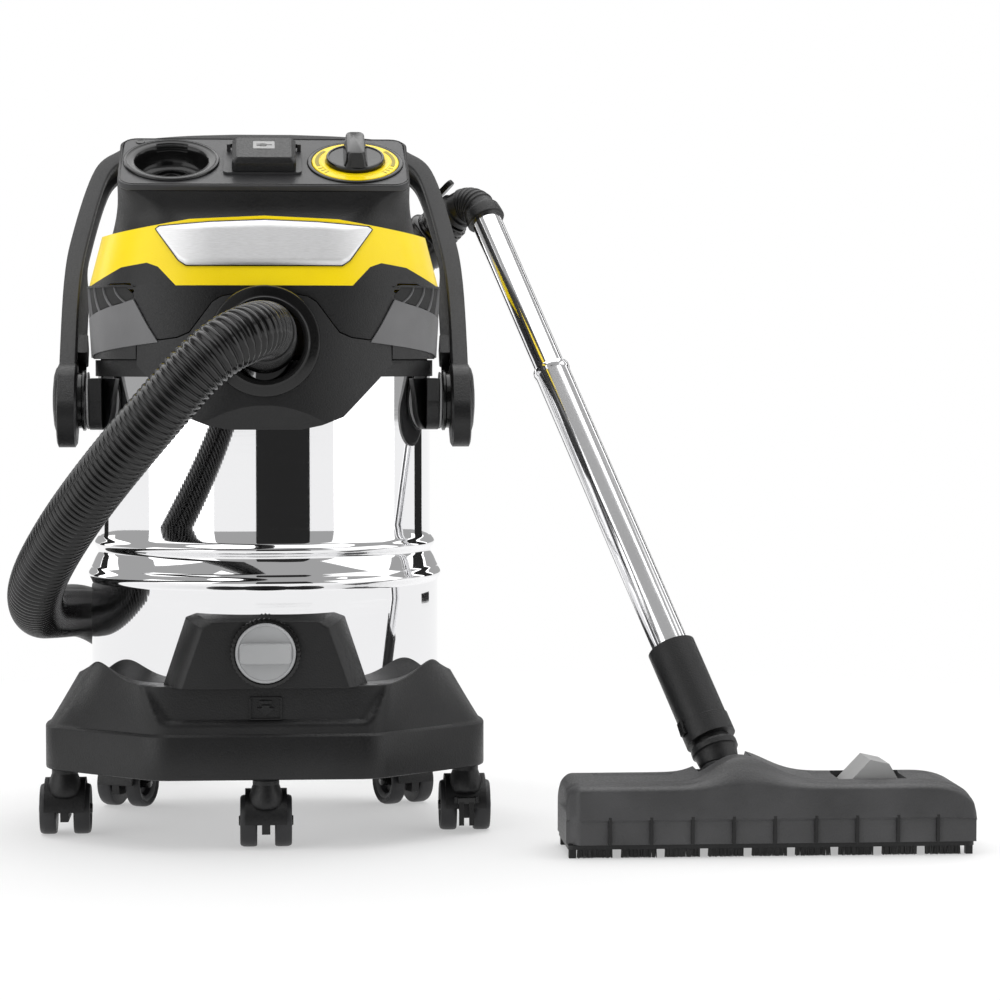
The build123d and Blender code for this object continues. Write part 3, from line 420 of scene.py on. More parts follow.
panel_tilt = radians(28)
panel = local_frame((0, -0.0815, 0.6608), (1, 0, 0), (0, -sin(panel_tilt), cos(panel_tilt)))
panel_normal = panel(0, 0, 1) - panel(0, 0, 0)


def prism(name, outline, place, low, high, material, body, bevel=0.0):
    """A flat outline given thickness in a local frame."""
    rings = [[place(u, v, h) for u, v in outline] for h in (low, high)]
    piece = loft(name, rings, material, body, smooth=False)
    if bevel:
        soften(piece, bevel)
    return piece


def rounded_box(half_u, half_v, radius, centre=(0.0, 0.0), steps=6):
    """The outline of a rectangle with rounded corners."""
    points = []
    for corner, (su, sv) in enumerate(((1, 1), (-1, 1), (-1, -1), (1, -1))):
        for step in range(steps + 1):
            angle = pi / 2 * (corner + step / steps)
            points.append((
                centre[0] + su * (half_u - radius) + radius * cos(angle),
                centre[1] + sv * (half_v - radius) + radius * sin(angle),
            ))
    return points


def arc_band(inner, outer, start, end, centre, steps=16):
    """The outline of part of a ring, angles in degrees."""
    angles = [radians(start + (end - start) * k / steps) for k in range(steps + 1)]
    far = [(centre[0] + outer * cos(a), centre[1] + outer * sin(a)) for a in angles]
    near = [(centre[0] + inner * cos(a), centre[1] + inner * sin(a)) for a in reversed(angles)]
    return far + near


# ------------------------------------------------------------------ storage cup
cup_centre = (-0.090, 0.0)


def cup_ring(radius, height, notch_radius=None, segments=144):
    """One ring of the cup, wider at the back where the notch is."""
    ring = []
    for k in range(segments):
        angle = 2 * pi * k / segments
        in_notch = notch_radius and abs(angle - pi / 2) < 0.42
        r = notch_radius if in_notch else radius
        ring.append(panel(cup_centre[0] + r * cos(angle), cup_centre[1] + r * sin(angle), height))
    return ring


cup_rings = [
    cup_ring(0.0468, 0.0002), cup_ring(0.0468, 0.0018), cup_ring(0.0460, 0.0026), cup_ring(0.0440, 0.0026),
    cup_ring(0.0432, 0.0016), cup_ring(0.0412, 0.0014), cup_ring(0.0370, 0.0012, 0.0405),
    cup_ring(0.0360, 0.0004, 0.0398),
    cup_ring(0.0352, -0.0030, 0.0395), cup_ring(0.0350, -0.0045, 0.0395), cup_ring(0.0350, -0.0050),
    cup_ring(0.0345, -0.0160),
    cup_ring(0.0300, -0.0215), cup_ring(0.0215, -0.0220), cup_ring(0.0208, -0.0190),
    cup_ring(0.0192, -0.0190),
    cup_ring(0.0185, -0.0225), cup_ring(0.0128, -0.0225), cup_ring(0.0120, -0.0185),
    cup_ring(0.0100, -0.0185),
    cup_ring(0.0092, -0.0230), cup_ring(0.0005, -0.0230), cup_ring(0.0005, -0.0290),
    cup_ring(0.0380, -0.0290),
    cup_ring(0.0398, -0.0270), cup_ring(0.0398, 0.0002), cup_ring(0.0468, 0.0002),
]
cup = sharpen(loft("accessory_cup", cup_rings, gloss_black, "head", caps=False), 50)
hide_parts("storage_cup")

# ------------------------------------------------------------------ head cover
def cover_ring(share):
    """One ring of the cover, from the panel's edge at 0 down to the band at 1."""
    top = rounded_box(0.1412 + 0.001 * share, 0.0552, 0.018 + 0.004 * share, steps=12)
    low = rounded_box(0.1500, 0.1500, 0.098, steps=12)
    ring = []
    for (tu, tv), (bx, by) in zip(top, low):
        upper = panel(tu, tv, -0.0062)
        lower = Vector((bx, by, 0.586))
        point = upper.lerp(lower, share)
        bulge = sin(pi * share)
        point.z += 0.020 * bulge * smooth_step((by + 0.02) / 0.10)
        point.y += 0.006 * bulge * smooth_step((-by - 0.05) / 0.06)
        point.x -= 0.003 * bulge * (1 if bx > 0 else -1)
        ring.append(point)
    return ring


cover_rings = [cover_ring(k / 14) for k in range(15)]
inner_rings = [[Vector((x * 0.975, (y - 0.01) * 0.975 + 0.01, z - 0.0035)) for x, y, z in ring]
               for ring in reversed(cover_rings)]
cover = loft("head_cover_shell", cover_rings + inner_rings + [cover_rings[0]], housing, "head",
             caps=False)
sharpen(cover, 50)
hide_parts("head_cover")

# ------------------------------------------------------------------ panel rim and screw cap
outer_rim = rounded_box(0.1408, 0.0548, 0.016)
inner_rim = rounded_box(0.1385, 0.0525, 0.0145)
rim_levels = [(outer_rim, -0.0068), (outer_rim, -0.0012), (inner_rim, 0.0006)]
rim_rings = [[panel(u, v, h) for u, v in outline] for outline, h in rim_levels]
rim_rings.append([panel(u * 0.995, v * 0.99, -0.0004) for u, v in inner_rim])
sharpen(loft("panel_rim", rim_rings, gloss_black, "head", caps=False), 40)
lathe("panel_screw_cap", [(0.0045, 0.0), (0.0045, 0.0006), (0.0036, 0.0009), (0.0024, 0.0002),
                          (0.0005, 0.0002)],
      panel(-0.1215, 0.0445), panel_normal, gloss_black, "head", 32)

# ------------------------------------------------------------------ socket lid
lid_centre = (0.0, -0.004)
lid_levels = [
    (0.0310, 0.0270, 0.0040, 0.0030), (0.0310, 0.0270, 0.0040, 0.0125), (0.0304, 0.0264, 0.0038, 0.0136),
    (0.0270, 0.0232, 0.0030, 0.0166), (0.0266, 0.0228, 0.0028, 0.0170),
]
lid_rings = [[panel(u, v, h) for u, v in rounded_box(hu, hv, r, lid_centre)] for hu, hv, r, h in lid_levels]
lid_shell = soften(loft("socket_cover", lid_rings, housing, "lid"), 0.0005, 2, 20)
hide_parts("socket_lid")
lathe("socket_cover_pin", [(0.0001, 0.0), (0.002, 0.0), (0.002, 0.072), (0.0001, 0.072)],
      panel(-0.036, 0.0223, 0.0065), (1, 0, 0), gloss_black, "lid", 24)
prism("socket_icon_plate", rounded_box(0.0105, 0.0085, 0.001, (0.0, 0.001)), panel, 0.0170, 0.0173,
      light_grey, "lid")
plug_body = [(0.0035, -0.0030), (0.0035, 0.0030), (-0.0002, 0.0030)] + [
    (-0.0002 - 0.0030 * sin(a), 0.0030 * cos(a)) for a in (0.5, 1.0, 1.57, 2.1, 2.6)
] + [(-0.0002, -0.0030)]
for part_name, outline in {
    "plug": [(-u, v + 0.001) for u, v in plug_body],
    "lead": [(0.0030, 0.0005), (0.0078, 0.0005), (0.0078, 0.0015), (0.0030, 0.0015)],
    "pin_a": [(-0.0072, 0.0022), (-0.0034, 0.0022), (-0.0034, 0.0031), (-0.0072, 0.0031)],
    "pin_b": [(-0.0072, -0.0011), (-0.0034, -0.0011), (-0.0034, -0.0002), (-0.0072, -0.0002)],
}.items():
    prism("socket_icon_" + part_name, outline, panel, 0.0172, 0.01755, gloss_black, "lid")

# ------------------------------------------------------------------ control knob and its ring
knob_centre = (0.089, -0.003)
knob_place = panel(*knob_centre)
ring_profile = [
    (0.0290, 0.0004), (0.0290, 0.0022), (0.0300, 0.0026), (0.0345, 0.0026), (0.0350, 0.0021),
    (0.0400, 0.0019),
    (0.0418, 0.0019), (0.0425, 0.0012), (0.0425, 0.0001), (0.0290, 0.0001), (0.0290, 0.0004),
]
scale_ring = sharpen(lathe("knob_scale_ring", ring_profile, knob_place, panel_normal, yellow, "head", 144), 30)
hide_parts("knob_ring")
olive = grained("scale_print", (0.30, 0.24, 0.01), (0.38, 0.30, 0.01), 0.4, 0.5)
for side, (start, end) in {"right": (-18, 38), "left": (142, 198)}.items():
    prism("knob_scale_" + side, arc_band(0.0357, 0.0392, start, end, knob_centre), panel, 0.0019, 0.0023,
          olive, "head")
for tick, angle in enumerate((-42, -34, -26, 206, 214, 222)):
    prism(f"knob_tick_{tick}", arc_band(0.0352, 0.0402, angle - 0.9, angle + 0.9, knob_centre, 2), panel,
          0.0019, 0.0022,
          olive, "head")
recess_profile = [(0.0425, 0.0002), (0.0425, 0.0010), (0.0440, 0.0016), (0.0462, 0.0016), (0.0472, 0.0002)]
lathe("knob_recess_rim", recess_profile, knob_place, panel_normal, gloss_black, "head", 144)
disc_profile = [
    (0.0002, 0.0026), (0.0282, 0.0026), (0.0285, 0.0034), (0.0285, 0.0062), (0.0278, 0.0074),
    (0.0262, 0.0076),
    (0.0255, 0.0066), (0.0120, 0.0064), (0.0002, 0.0064),
]
sharpen(lathe("knob_disc", disc_profile, knob_place, panel_normal, gloss_black, "knob", 96), 40)
bar_levels = [
    (0.0118, 0.0272, 0.0064, 0.0060), (0.0112, 0.0268, 0.0064, 0.0085), (0.0098, 0.0262, 0.0060, 0.0130),
    (0.0090, 0.0258, 0.0058, 0.0205), (0.0082, 0.0252, 0.0052, 0.0220), (0.0068, 0.0238, 0.0042, 0.0225),
]
bar_rings = [[panel(u, v, h) for u, v in rounded_box(hu, hv, r, knob_centre)]
             for hu, hv, r, h in bar_levels]
knob_bar = loft("knob_bar", bar_rings, gloss_black, "knob")
sharpen(knob_bar, 40)
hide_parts("control_knob")

# ------------------------------------------------------------------ badge plate on the yellow band
band_low_z, band_top_z = 0.538, 0.607


def band_surface(x, z, stand_off):
    """The band's front at (x, z), moved out by a distance."""
    share = (z - band_low_z) / (band_top_z - band_low_z)
    half = 0.172 - 0.018 * share + stand_off
    radius = 0.124 - 0.016 * share + stand_off
    over = abs(x) - (half - radius)
    depth = half + 0.002
    if over > 0:
        depth = half + 0.002 - radius + sqrt(max(radius**2 - over**2, 0))
    return Vector((x, -depth, z))


def along(outline, x):
    """The height of an open outline of (x, z) points at x."""
    for (xa, za), (xb, zb) in zip(outline, outline[1:]):
        if xa <= x <= xb:
            return za + (zb - za) * (x - xa) / (xb - xa)
    return outline[-1][1]


def band_patch(name, lower, upper, stand_off, depth, material, slot, columns=120, rows=6):
    """A plate that follows the band between two edges given as (x, z) points."""
    x_low, x_high = lower[0][0], lower[-1][0]
    rings = []
    for c in range(columns + 1):
        x = x_low + (x_high - x_low) * c / columns
        low, high = along(lower, x), along(upper, x)
        heights = [low + (high - low) * r / rows for r in range(rows + 1)]
        front = [band_surface(x, z, stand_off) for z in heights]
        back = [band_surface(x, z, stand_off - depth) for z in reversed(heights)]
        rings.append(front + back)
    return loft(name, rings, material, "head")


def plate_edges(grow):
    """The badge's lower and upper edges, grown outwards."""
    lower = [(-0.103 - grow, 0.592), (-0.081 - grow, 0.562 - grow * 0.4),
             (-0.074 - grow * 0.5, 0.5575 - grow)]
    lower += [(-x, z) for x, z in reversed(lower)]
    upper = [(-0.103 - grow, 0.5925), (-0.100 - grow * 0.6, 0.5945 + grow), (-0.05, 0.5985 + grow),
             (0.0, 0.6005 + grow)]
    upper += [(-x, z) for x, z in reversed(upper[:-1])]
    return lower, upper


band_patch("badge_surround", *plate_edges(0.0011), 0.0013, 0.0012, gloss_black, "gloss_plastic_black")
badge = band_patch("brushed_badge", *plate_edges(0.0), 0.0018, 0.0016, plate_steel, "brushed_plate")
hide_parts("badge_plate")

# ------------------------------------------------------------------ drain plug
drain_z = 0.190
front = (0, -1, 0)


def serrated(radius, depth, teeth, segments, height):
    """A ring of points with fine teeth."""
    ring = []
    for k in range(segments):
        angle = 2 * pi * k / segments
        r = radius - depth * (0.5 - 0.5 * cos(teeth * angle))
        ring.append(Vector((r * cos(angle), -height, drain_z + r * sin(angle))))
    return ring


ring_levels = [(0.0330, 0.0, 0.1924), (0.0338, 0.0012, 0.1930), (0.0340, 0.0014, 0.1985),
               (0.0334, 0.0010, 0.2010),
               (0.0300, 0.0, 0.2014), (0.0292, 0.0, 0.2000), (0.0292, 0.0, 0.1950), (0.0010, 0.0, 0.1950)]
sharpen(loft("drain_ring", [serrated(r, d, 44, 352, h) for r, d, h in ring_levels], gloss_black,
             "drain_plug"), 50)
cap_profile = [(0.0001, 0.1940), (0.0288, 0.1940), (0.0288, 0.2006), (0.0280, 0.2022), (0.0262, 0.2030),
               (0.0255, 0.2024),
               (0.0001, 0.2026)]
drain_cap = sharpen(lathe("drain_cap", cap_profile, (0, 0, drain_z), front, mid_grey, "drain_plug", 96), 40)
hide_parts("drain_plug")
drain_face = local_frame((0, 0, drain_z), (1, 0, 0), front)
bar_outline = rounded_box(0.0245, 0.0098, 0.003)
bar_steps = [(1.0, 0.2018), (1.0, 0.2090), (0.985, 0.2112), (0.94, 0.2124)]
bar = loft("drain_bar", [[drain_face(u * s, v * (s if s > 0.98 else s * 0.97), h) for u, v in bar_outline]
                         for s, h in bar_steps],
           mid_grey, "drain_plug")
sharpen(bar, 40)

# ------------------------------------------------------------------ carrying handle
lean = radians(42)
pivot = Vector((0, -0.040, 0.427))
along_arm = Vector((0, sin(lean), cos(lean)))
out_of_handle = Vector((0, -cos(lean), sin(lean)))
arm_outer = [(203, 0), (203, 145), (196, 220), (177, 309), (152, 338), (131, 353), (88, 360), (30, 363)]
arm_inner = [(186, 0), (186, 137), (179, 211), (162, 299), (140, 325), (122, 338), (85, 345), (30, 347)]


def smooth_line(points, steps):
    """A Catmull-Rom line through points given in millimetres, returned in metres."""
    ends = [points[0]] + points + [points[-1]]
    line = []
    for a, b, c, d in zip(ends, ends[1:], ends[2:], ends[3:]):
        for step in range(steps):
            s = step / steps
            line.append(tuple(
                0.0005 * (2 * q + (r - o) * s + (2 * o - 5 * q + 4 * r - w) * s**2
                          + (3 * q - o - 3 * r + w) * s**3)
                for o, q, r, w in zip(a, b, c, d)
            ))
    line.append(tuple(v / 1000 for v in points[-1]))
    return line


def both_halves(points):
    """A half line from the right arm, carried over to the left."""
    return points + [(-x, s) for x, s in reversed(points)]


handle_rings = []
for (ox, os), (ix, in_s) in zip(both_halves(smooth_line(arm_outer, 8)),
                                both_halves(smooth_line(arm_inner, 8))):
    outer_point = pivot + Vector((ox, 0, 0)) + along_arm * os
    inner_point = pivot + Vector((ix, 0, 0)) + along_arm * in_s
    width = (inner_point - outer_point).length
    inward = (inner_point - outer_point) / width
    web = 0.0085 * (1 - smooth_step((os - 0.150) / 0.060))
    section = [
        (0.0025, 0.0150), (width - 0.0020, 0.0150), (width - 0.0004, 0.0140), (width, 0.0100),
        (width - 0.0060, 0.0085),
        (width - 0.0060, -0.0075), (width + web, -0.0090), (width + web, -0.0140),
        (width - 0.001, -0.0150), (0.0025, -0.0150),
        (0.0007, -0.0143), (0.0, -0.0125), (0.0, 0.0125), (0.0007, 0.0143),
    ]
    handle_rings.append([outer_point + inward * a + out_of_handle * h for a, h in section])
handle = sharpen(loft("swing_handle", handle_rings, housing, "handle"), 30)
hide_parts("carry_handle")
for side_name, side in {"left": -1, "right": 1}.items():
    hub_frame = local_frame(pivot + Vector((side * 0.184, 0, 0)), out_of_handle, (side, 0, 0))
    paddle = []
    for k in range(72):
        angle = 2 * pi * k / 72
        radius, drop = (0.0365, 0.0) if sin(angle) >= 0 else (0.0310, 0.020)
        paddle.append((radius * cos(angle), -side * (radius * sin(angle) - drop)))
    inset_paddle = [(u * 0.93, v * 0.93) for u, v in paddle]
    levels = [(inset_paddle, 0.0), (paddle, 0.002), (paddle, 0.0180), (inset_paddle, 0.0194)]
    paddle_rings = [[hub_frame(u, v, h) for u, v in outline] for outline, h in levels]
    sharpen(loft("handle_paddle_" + side_name, paddle_rings, housing, "handle"), 30)
    hub = pivot + Vector((side * 0.1758, 0, 0))
    hub_profile = [(0.0081, 0.0), (0.0290, 0.0), (0.0300, 0.0010), (0.0300, 0.0030), (0.0275, 0.0040),
                   (0.0275, 0.0090), (0.0081, 0.0090)]
    sharpen(lathe("handle_hub_" + side_name, hub_profile, hub, (side, 0, 0), gloss_black, "handle", 72), 40)
    dome_profile = [(0.0001, -0.004), (0.0330, -0.004), (0.0335, 0.0), (0.0318, 0.0016), (0.0260, 0.0034),
                    (0.0150, 0.0046), (0.0001, 0.0049)]
    dome = lathe("handle_dome_" + side_name, dome_profile, pivot + Vector((side * 0.2034, 0, 0)),
                 (side, 0, 0), housing, "handle", 72)
    if side < 0:
        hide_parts("handle_caps")
    disc_profile = [(0.0282, 0.0), (0.0282, 0.0012), (0.0274, 0.0020), (0.0090, 0.0021), (0.0090, 0.0)]
    lathe("pivot_washer_" + side_name, disc_profile, pivot + Vector((side * 0.1731, 0, 0)), (side, 0, 0),
          light_grey, "base", 72)

# ------------------------------------------------------------------ pivot brackets
for side_name, side in {"left": -1, "right": 1}.items():
    tongue = []
    for k in range(33):
        angle = pi + pi * k / 32
        tongue.append((0.0240 * cos(angle), 0.0290 * sin(angle)))
    tongue += [(0.0300, 0.0220), (-0.0300, 0.0220)]
    tongue_frame = local_frame(pivot + Vector((side * 0.1600, 0, 0)), (0, side, 0), (side, 0, 0))
    bracket = prism("pivot_tongue_" + side_name, tongue, tongue_frame, 0.0, 0.0128, housing, "base",
                    0.0012)
    if side < 0:
        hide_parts("pivot_brackets")
    pin_profile = [(0.0001, -0.002), (0.0079, -0.002), (0.0079, 0.0278), (0.0070, 0.0287), (0.0001, 0.0288)]
    lathe("pivot_pin_" + side_name, pin_profile, pivot + Vector((side * 0.1730, 0, 0)), (side, 0, 0),
          gloss_black, "base", 48)

# ------------------------------------------------------------------ grip elbow and chrome wand
tube_top = Vector((0.231, 0.165, 0.623))
sleeve_end = Vector((0.430, -0.165, 0.0996))
wand_dir = (sleeve_end - tube_top).normalized()
grip_corner = tube_top - wand_dir * 0.028
cuff_dir = Vector((0.62, -0.42, 0.66)).normalized()
cuff_face = grip_corner - cuff_dir * 0.038


def bent_tube(name, start, corner, end, radii, material, body, segments=64, steps=60):
    """A tube along a smooth bend, its radius given as (share, radius) points along the way."""
    tube_rings = []
    up = Vector((0, 0, 1))
    for step in range(steps + 1):
        s = step / steps
        place = (1 - s) ** 2 * start + 2 * s * (1 - s) * corner + s * s * end
        heading = ((1 - s) * (corner - start) + s * (end - corner)).normalized()
        side = (up - heading * up.dot(heading)).normalized()
        up = side
        across = heading.cross(side)
        r = along(radii, s)
        tube_rings.append([place + round_offset(side, across, k / segments, r) for k in range(segments)])
    return sharpen(loft(name, tube_rings, material, body), 40)


elbow_radii = [(0.0, 0.0196), (0.02, 0.0206), (0.13, 0.0206), (0.16, 0.0180), (0.24, 0.0178)]
for rib in range(6):
    rib_at = 0.30 + rib * 0.075
    elbow_radii += [(rib_at, 0.0177), (rib_at + 0.012, 0.0190), (rib_at + 0.040, 0.0190),
                    (rib_at + 0.052, 0.0177)]
elbow_radii += [(0.80, 0.0180), (0.84, 0.0198), (0.985, 0.0204), (1.0, 0.0196)]
elbow = bent_tube("grip_bend", cuff_face, grip_corner, tube_top + wand_dir * 0.012, elbow_radii, housing,
                  "wand",
                  steps=150)
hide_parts("grip_elbow")
upper_profile = [(0.0148, 0.0050), (0.0160, 0.0050), (0.0160, 0.2100), (0.0148, 0.2100)]
upper = sharpen(lathe("wand_upper", upper_profile, tube_top, wand_dir, chrome, "wand", 192,
                      closed=True), 40)
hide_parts("upper_tube")
lower_profile = [(0.0161, 0.2052), (0.0176, 0.2050), (0.0190, 0.2054), (0.0194, 0.2068), (0.0194, 0.2100),
                 (0.0187, 0.2122),
                 (0.0185, 0.2140), (0.0185, 0.5900), (0.0171, 0.5900), (0.0171, 0.2160)]
lower = sharpen(lathe("wand_lower", lower_profile, tube_top, wand_dir, chrome, "wand", 192,
                      closed=True), 40)
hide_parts("lower_tube")
neck_corner = sleeve_end + wand_dir * 0.020
barrel_centre = neck_corner - Vector((0, 0.6, 0.8)) * 0.034
neck_radii = [(0.0, 0.0172), (0.34, 0.0172), (0.36, 0.0222), (0.40, 0.0230), (0.50, 0.0230),
              (0.53, 0.0214), (0.60, 0.0206), (1.0, 0.0180)]
neck = bent_tube("neck_boot", sleeve_end - wand_dir * 0.019, neck_corner,
                 barrel_centre + Vector((0, 0.6, 0.8)) * 0.0226, neck_radii,
                 housing, "wand")
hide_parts("nozzle_neck")

# ------------------------------------------------------------------ side panels and air vents of the head
head_low_z = 0.468


def housing_surface(turn, z, stand_off, side):
    """The head's corner at an angle from the front, in degrees, and a height."""
    share = (z - head_low_z) / (band_low_z - head_low_z)
    half = 0.168 + 0.004 * share + stand_off
    radius = 0.120 + 0.004 * share + stand_off
    if z > band_low_z:
        share = (z - band_low_z) / (band_top_z - band_low_z)
        half = 0.172 - 0.018 * share + stand_off
        radius = 0.124 - 0.016 * share + stand_off
    turn = radians(turn)
    if turn > pi / 2:
        return Vector((side * half, -(half + 0.002 - radius) + (turn - pi / 2) * radius, z))
    return Vector((side * (half - radius + radius * sin(turn)),
                   -(half + 0.002 - radius + radius * cos(turn)), z))


def corner_patch(name, lower, upper, stand_off, depth, material, side, columns=48, rows=6):
    """A plate on the head's corner between two edges given as (turn, z) points."""
    first, last = lower[0][0], lower[-1][0]
    patch_rings = []
    for c in range(columns + 1):
        turn = first + (last - first) * c / columns
        low, high = along(lower, turn), along(upper, turn)
        heights = [low + (high - low) * r / rows for r in range(rows + 1)]
        face = [housing_surface(turn, z, stand_off, side) for z in heights]
        back = [housing_surface(turn, z, stand_off - depth, side) for z in reversed(heights)]
        patch_rings.append(face + back)
    return sharpen(loft(name, patch_rings, material, "head"), 40)


vent_low = [(38.5, 0.527), (45.0, 0.5225), (90.0, 0.5060), (100.0, 0.5050)]
vent_high = [(38.5, 0.530), (42.5, 0.5365), (52.0, 0.5375), (90.0, 0.5375), (100.0, 0.5375)]
for side_name, side in {"left": -1, "right": 1}.items():
    lower_edge = [(26.0, 0.4840), (90.0, 0.4690), (135.0, 0.4690)]
    middle = [(26.0, 0.4845), (31.0, 0.5000), (38.0, 0.5250), (45.0, 0.5215), (90.0, 0.5045),
              (135.0, 0.5000)]
    panel_skin = corner_patch("side_panel_" + side_name, lower_edge, middle, 0.0019, 0.0015, vent_grey,
                              side, 72)
    if side < 0:
        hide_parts("vent_panels")
    # Painted shade: a dark sheet of seal rubber, just off the housing behind the fins, stands in for the shade
    # inside the vent openings.
    corner_patch("vent_painted_shade_" + side_name, vent_low, vent_high, 0.0003, 0.0010, rubber_and_vent_shade,
                 side)
    frame_low = [(37.5, 0.5370), (42.5, 0.5370), (100.0, 0.5372)]
    frame_high = [(37.5, 0.5378), (42.5, 0.5392), (100.0, 0.5392)]
    corner_patch("vent_lintel_" + side_name, frame_low, frame_high, 0.0019, 0.0015, housing,
                 side)
    for fin, (turn, lean_turn) in enumerate(((50, 5), (59, 4), (69, 3), (79, 2), (89, 1))):
        fin_rings = []
        for step in range(9):
            share = step / 8
            z = 0.5372 + (along(vent_low, turn) - 0.5372) * share
            mid = turn - lean_turn * share * share * 1.6
            half_fin = 0.35 + 0.75 * share
            fin_rings.append([housing_surface(mid + a, z, h, side) for a, h in
                              ((-half_fin, 0.0002), (-half_fin * 0.4, 0.0017), (half_fin * 0.4, 0.0017),
                               (half_fin, 0.0002))])
        sharpen(loft(f"vent_fin_{side_name}_{fin}", fin_rings, vent_grey, "head"), 30)

# ------------------------------------------------------------------ chassis and drain housing
base_low = [(106, -192), (214, -96), (217, -50), (190, 130), (120, 186)]
base_high = [(112, -187), (160, -112), (186, -40), (172, 95), (100, 183)]


def rounded_outline(half_points, radius, steps=8):
    """A closed outline in metres from half its corners in millimetres, each corner rounded."""
    corners = [Vector((x, y)) for x, y in half_points] + [Vector((-x, y)) for x, y in reversed(half_points)]
    points = []
    for index, corner in enumerate(corners):
        before = (corners[index - 1] - corner).normalized()
        after = (corners[(index + 1) % len(corners)] - corner).normalized()
        reach = radius * 0.8
        start, end = corner + before * reach, corner + after * reach
        for step in range(steps + 1):
            s = step / steps
            points.append(((1 - s) ** 2 * start + 2 * s * (1 - s) * corner + s * s * end) / 1000)
    dense = []
    for index, point in enumerate(points):
        following = points[(index + 1) % len(points)]
        pieces = max(1, int((following - point).length / 0.006))
        dense += [point.lerp(following, k / pieces) for k in range(pieces)]
    return dense


def even_outline(points, count):
    """An outline re-spaced to a number of even steps by its azimuth."""
    angles = [atan2(point.x, -point.y) % (2 * pi) for point in points]
    order = sorted(range(len(points)), key=lambda k: angles[k])
    ring = []
    for k in range(count):
        wanted = 2 * pi * k / count
        after = next((m for m in order if angles[m] >= wanted), order[0])
        before = order[order.index(after) - 1]
        gap = (angles[after] - angles[before]) % (2 * pi)
        share = ((wanted - angles[before]) % (2 * pi)) / gap if gap else 0.0
        ring.append(points[before].lerp(points[after], share))
    return ring


azimuths = 360
skirt_low = even_outline(rounded_outline(base_low, 20), azimuths)
skirt_high = even_outline(rounded_outline(base_high, 18), azimuths)
chassis_rings = []


def chassis_ring(z, share, shrink=1.0):
    """One level of the chassis, with its front recess and its raised corners."""
    ring = []
    for k, (low_point, high_point) in enumerate(zip(skirt_low, skirt_high)):
        point = low_point.lerp(high_point, share) * shrink
        height = z
        azimuth = abs((k / azimuths * 360 + 180) % 360 - 180)
        if share > 0:
            height += 0.017 * share**2 * exp(-(((azimuth - 57) / 13) ** 2))
            recess_half = 0.094 + 0.026 * share
            inside = smooth_step((recess_half - abs(point.x)) / 0.010) * smooth_step((share - 0.22) / 0.12)
            if point.y < 0:
                point = Vector((point.x, point.y + 0.0045 * inside))
        ring.append(Vector((point.x, point.y, height)))
    return ring


for z, shrink in ((0.0700, 0.960), (0.0682, 0.975), (0.0680, 0.990), (0.0690, 0.998), (0.0710, 1.0),
                  (0.1085, 1.0), (0.1098, 0.9965)):
    chassis_rings.append(chassis_ring(z, 0.0, shrink))
for step in range(1, 25):
    share = step / 24
    chassis_rings.append(chassis_ring(0.1100 + 0.0462 * share, share, 0.985 + 0.015 * share))
chassis_rings.append(chassis_ring(0.1570, 1.0, 0.994))


def circle_ring(radius, z):
    """A ring with the chassis's azimuth steps."""
    return [Vector((radius * sin(2 * pi * k / azimuths), -radius * cos(2 * pi * k / azimuths), z))
            for k in range(azimuths)]


chassis_rings += [circle_ring(0.1762, 0.1570), circle_ring(0.1742, 0.1560), circle_ring(0.1740, 0.1010),
                  circle_ring(0.1250, 0.0990),
                  circle_ring(0.1250, 0.0740)]
skirt_shell = sharpen(loft("chassis_shell", chassis_rings + [chassis_rings[0]], housing, "base",
                           caps=False), 32)
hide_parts("chassis")

boss_back = [(0.098, 0.1555), (0.076, 0.2215), (0.066, 0.2255), (0.0, 0.2270)]
boss_front = [(0.080, 0.1555), (0.060, 0.2125), (0.050, 0.2185), (0.0, 0.2200)]


def boss_ring(blend_share, y):
    """One level of the drain housing, from the drum out to its flat face."""
    half = [(a[0] + (b[0] - a[0]) * blend_share, a[1] + (b[1] - a[1]) * blend_share)
            for a, b in zip(boss_back, boss_front)]
    outline = half + [(-x, z) for x, z in reversed(half[:-1])]
    dense = []
    for (xa, za), (xb, zb) in zip(outline, outline[1:]):
        dense += [(xa + (xb - xa) * k / 8, za + (zb - za) * k / 8) for k in range(8)]
    dense.append(outline[-1])
    return [Vector((x, y, z)) for x, z in dense]


boss_rings = [boss_ring(0.0, -0.130), boss_ring(0.0, -0.1610), boss_ring(0.55, -0.1840),
              boss_ring(0.96, -0.1912), boss_ring(1.04, -0.1920)]
boss = soften(sharpen(loft("drain_housing", boss_rings, housing, "base"), 24),
              0.0012, 2, 24)
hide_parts("drain_boss")

# ------------------------------------------------------------------ chassis emblem
# A plain arrow in a square frame.
skirt = local_frame((0, -0.1852, 0.136), (1, 0, 0), (0, -1, 0.04))
for edge, (u, v, hu, hv) in {"top": (0, 0.0102, 0.0150, 0.0006), "bottom": (0, -0.0102, 0.0150, 0.0006),
                             "left": (-0.0147, 0, 0.0006, 0.0108),
                             "right": (0.0147, 0, 0.0006, 0.0108)}.items():
    prism("emblem_frame_" + edge, [(u - hu, v - hv), (u + hu, v - hv), (u + hu, v + hv),
                                   (u - hu, v + hv)], skirt,
          -0.002, 0.0008, housing, "base")
arrow = [(0, -0.0075), (0.0085, 0.0005), (0.0035, 0.0005), (0.0035, 0.0030), (-0.0035, 0.0030),
         (-0.0035, 0.0005), (-0.0085, 0.0005)]
prism("emblem_arrow", arrow, skirt, -0.002, 0.0010, housing, "base")
prism("emblem_bar", [(-0.0060, 0.0045), (0.0060, 0.0045), (0.0060, 0.0072), (-0.0060, 0.0072)], skirt,
      -0.002, 0.0010, housing,
      "base")

# ------------------------------------------------------------------ floor nozzle
body_left, body_right = 0.281, 0.669
front_y, back_y = -0.266, -0.156
barrel_x = 0.4361


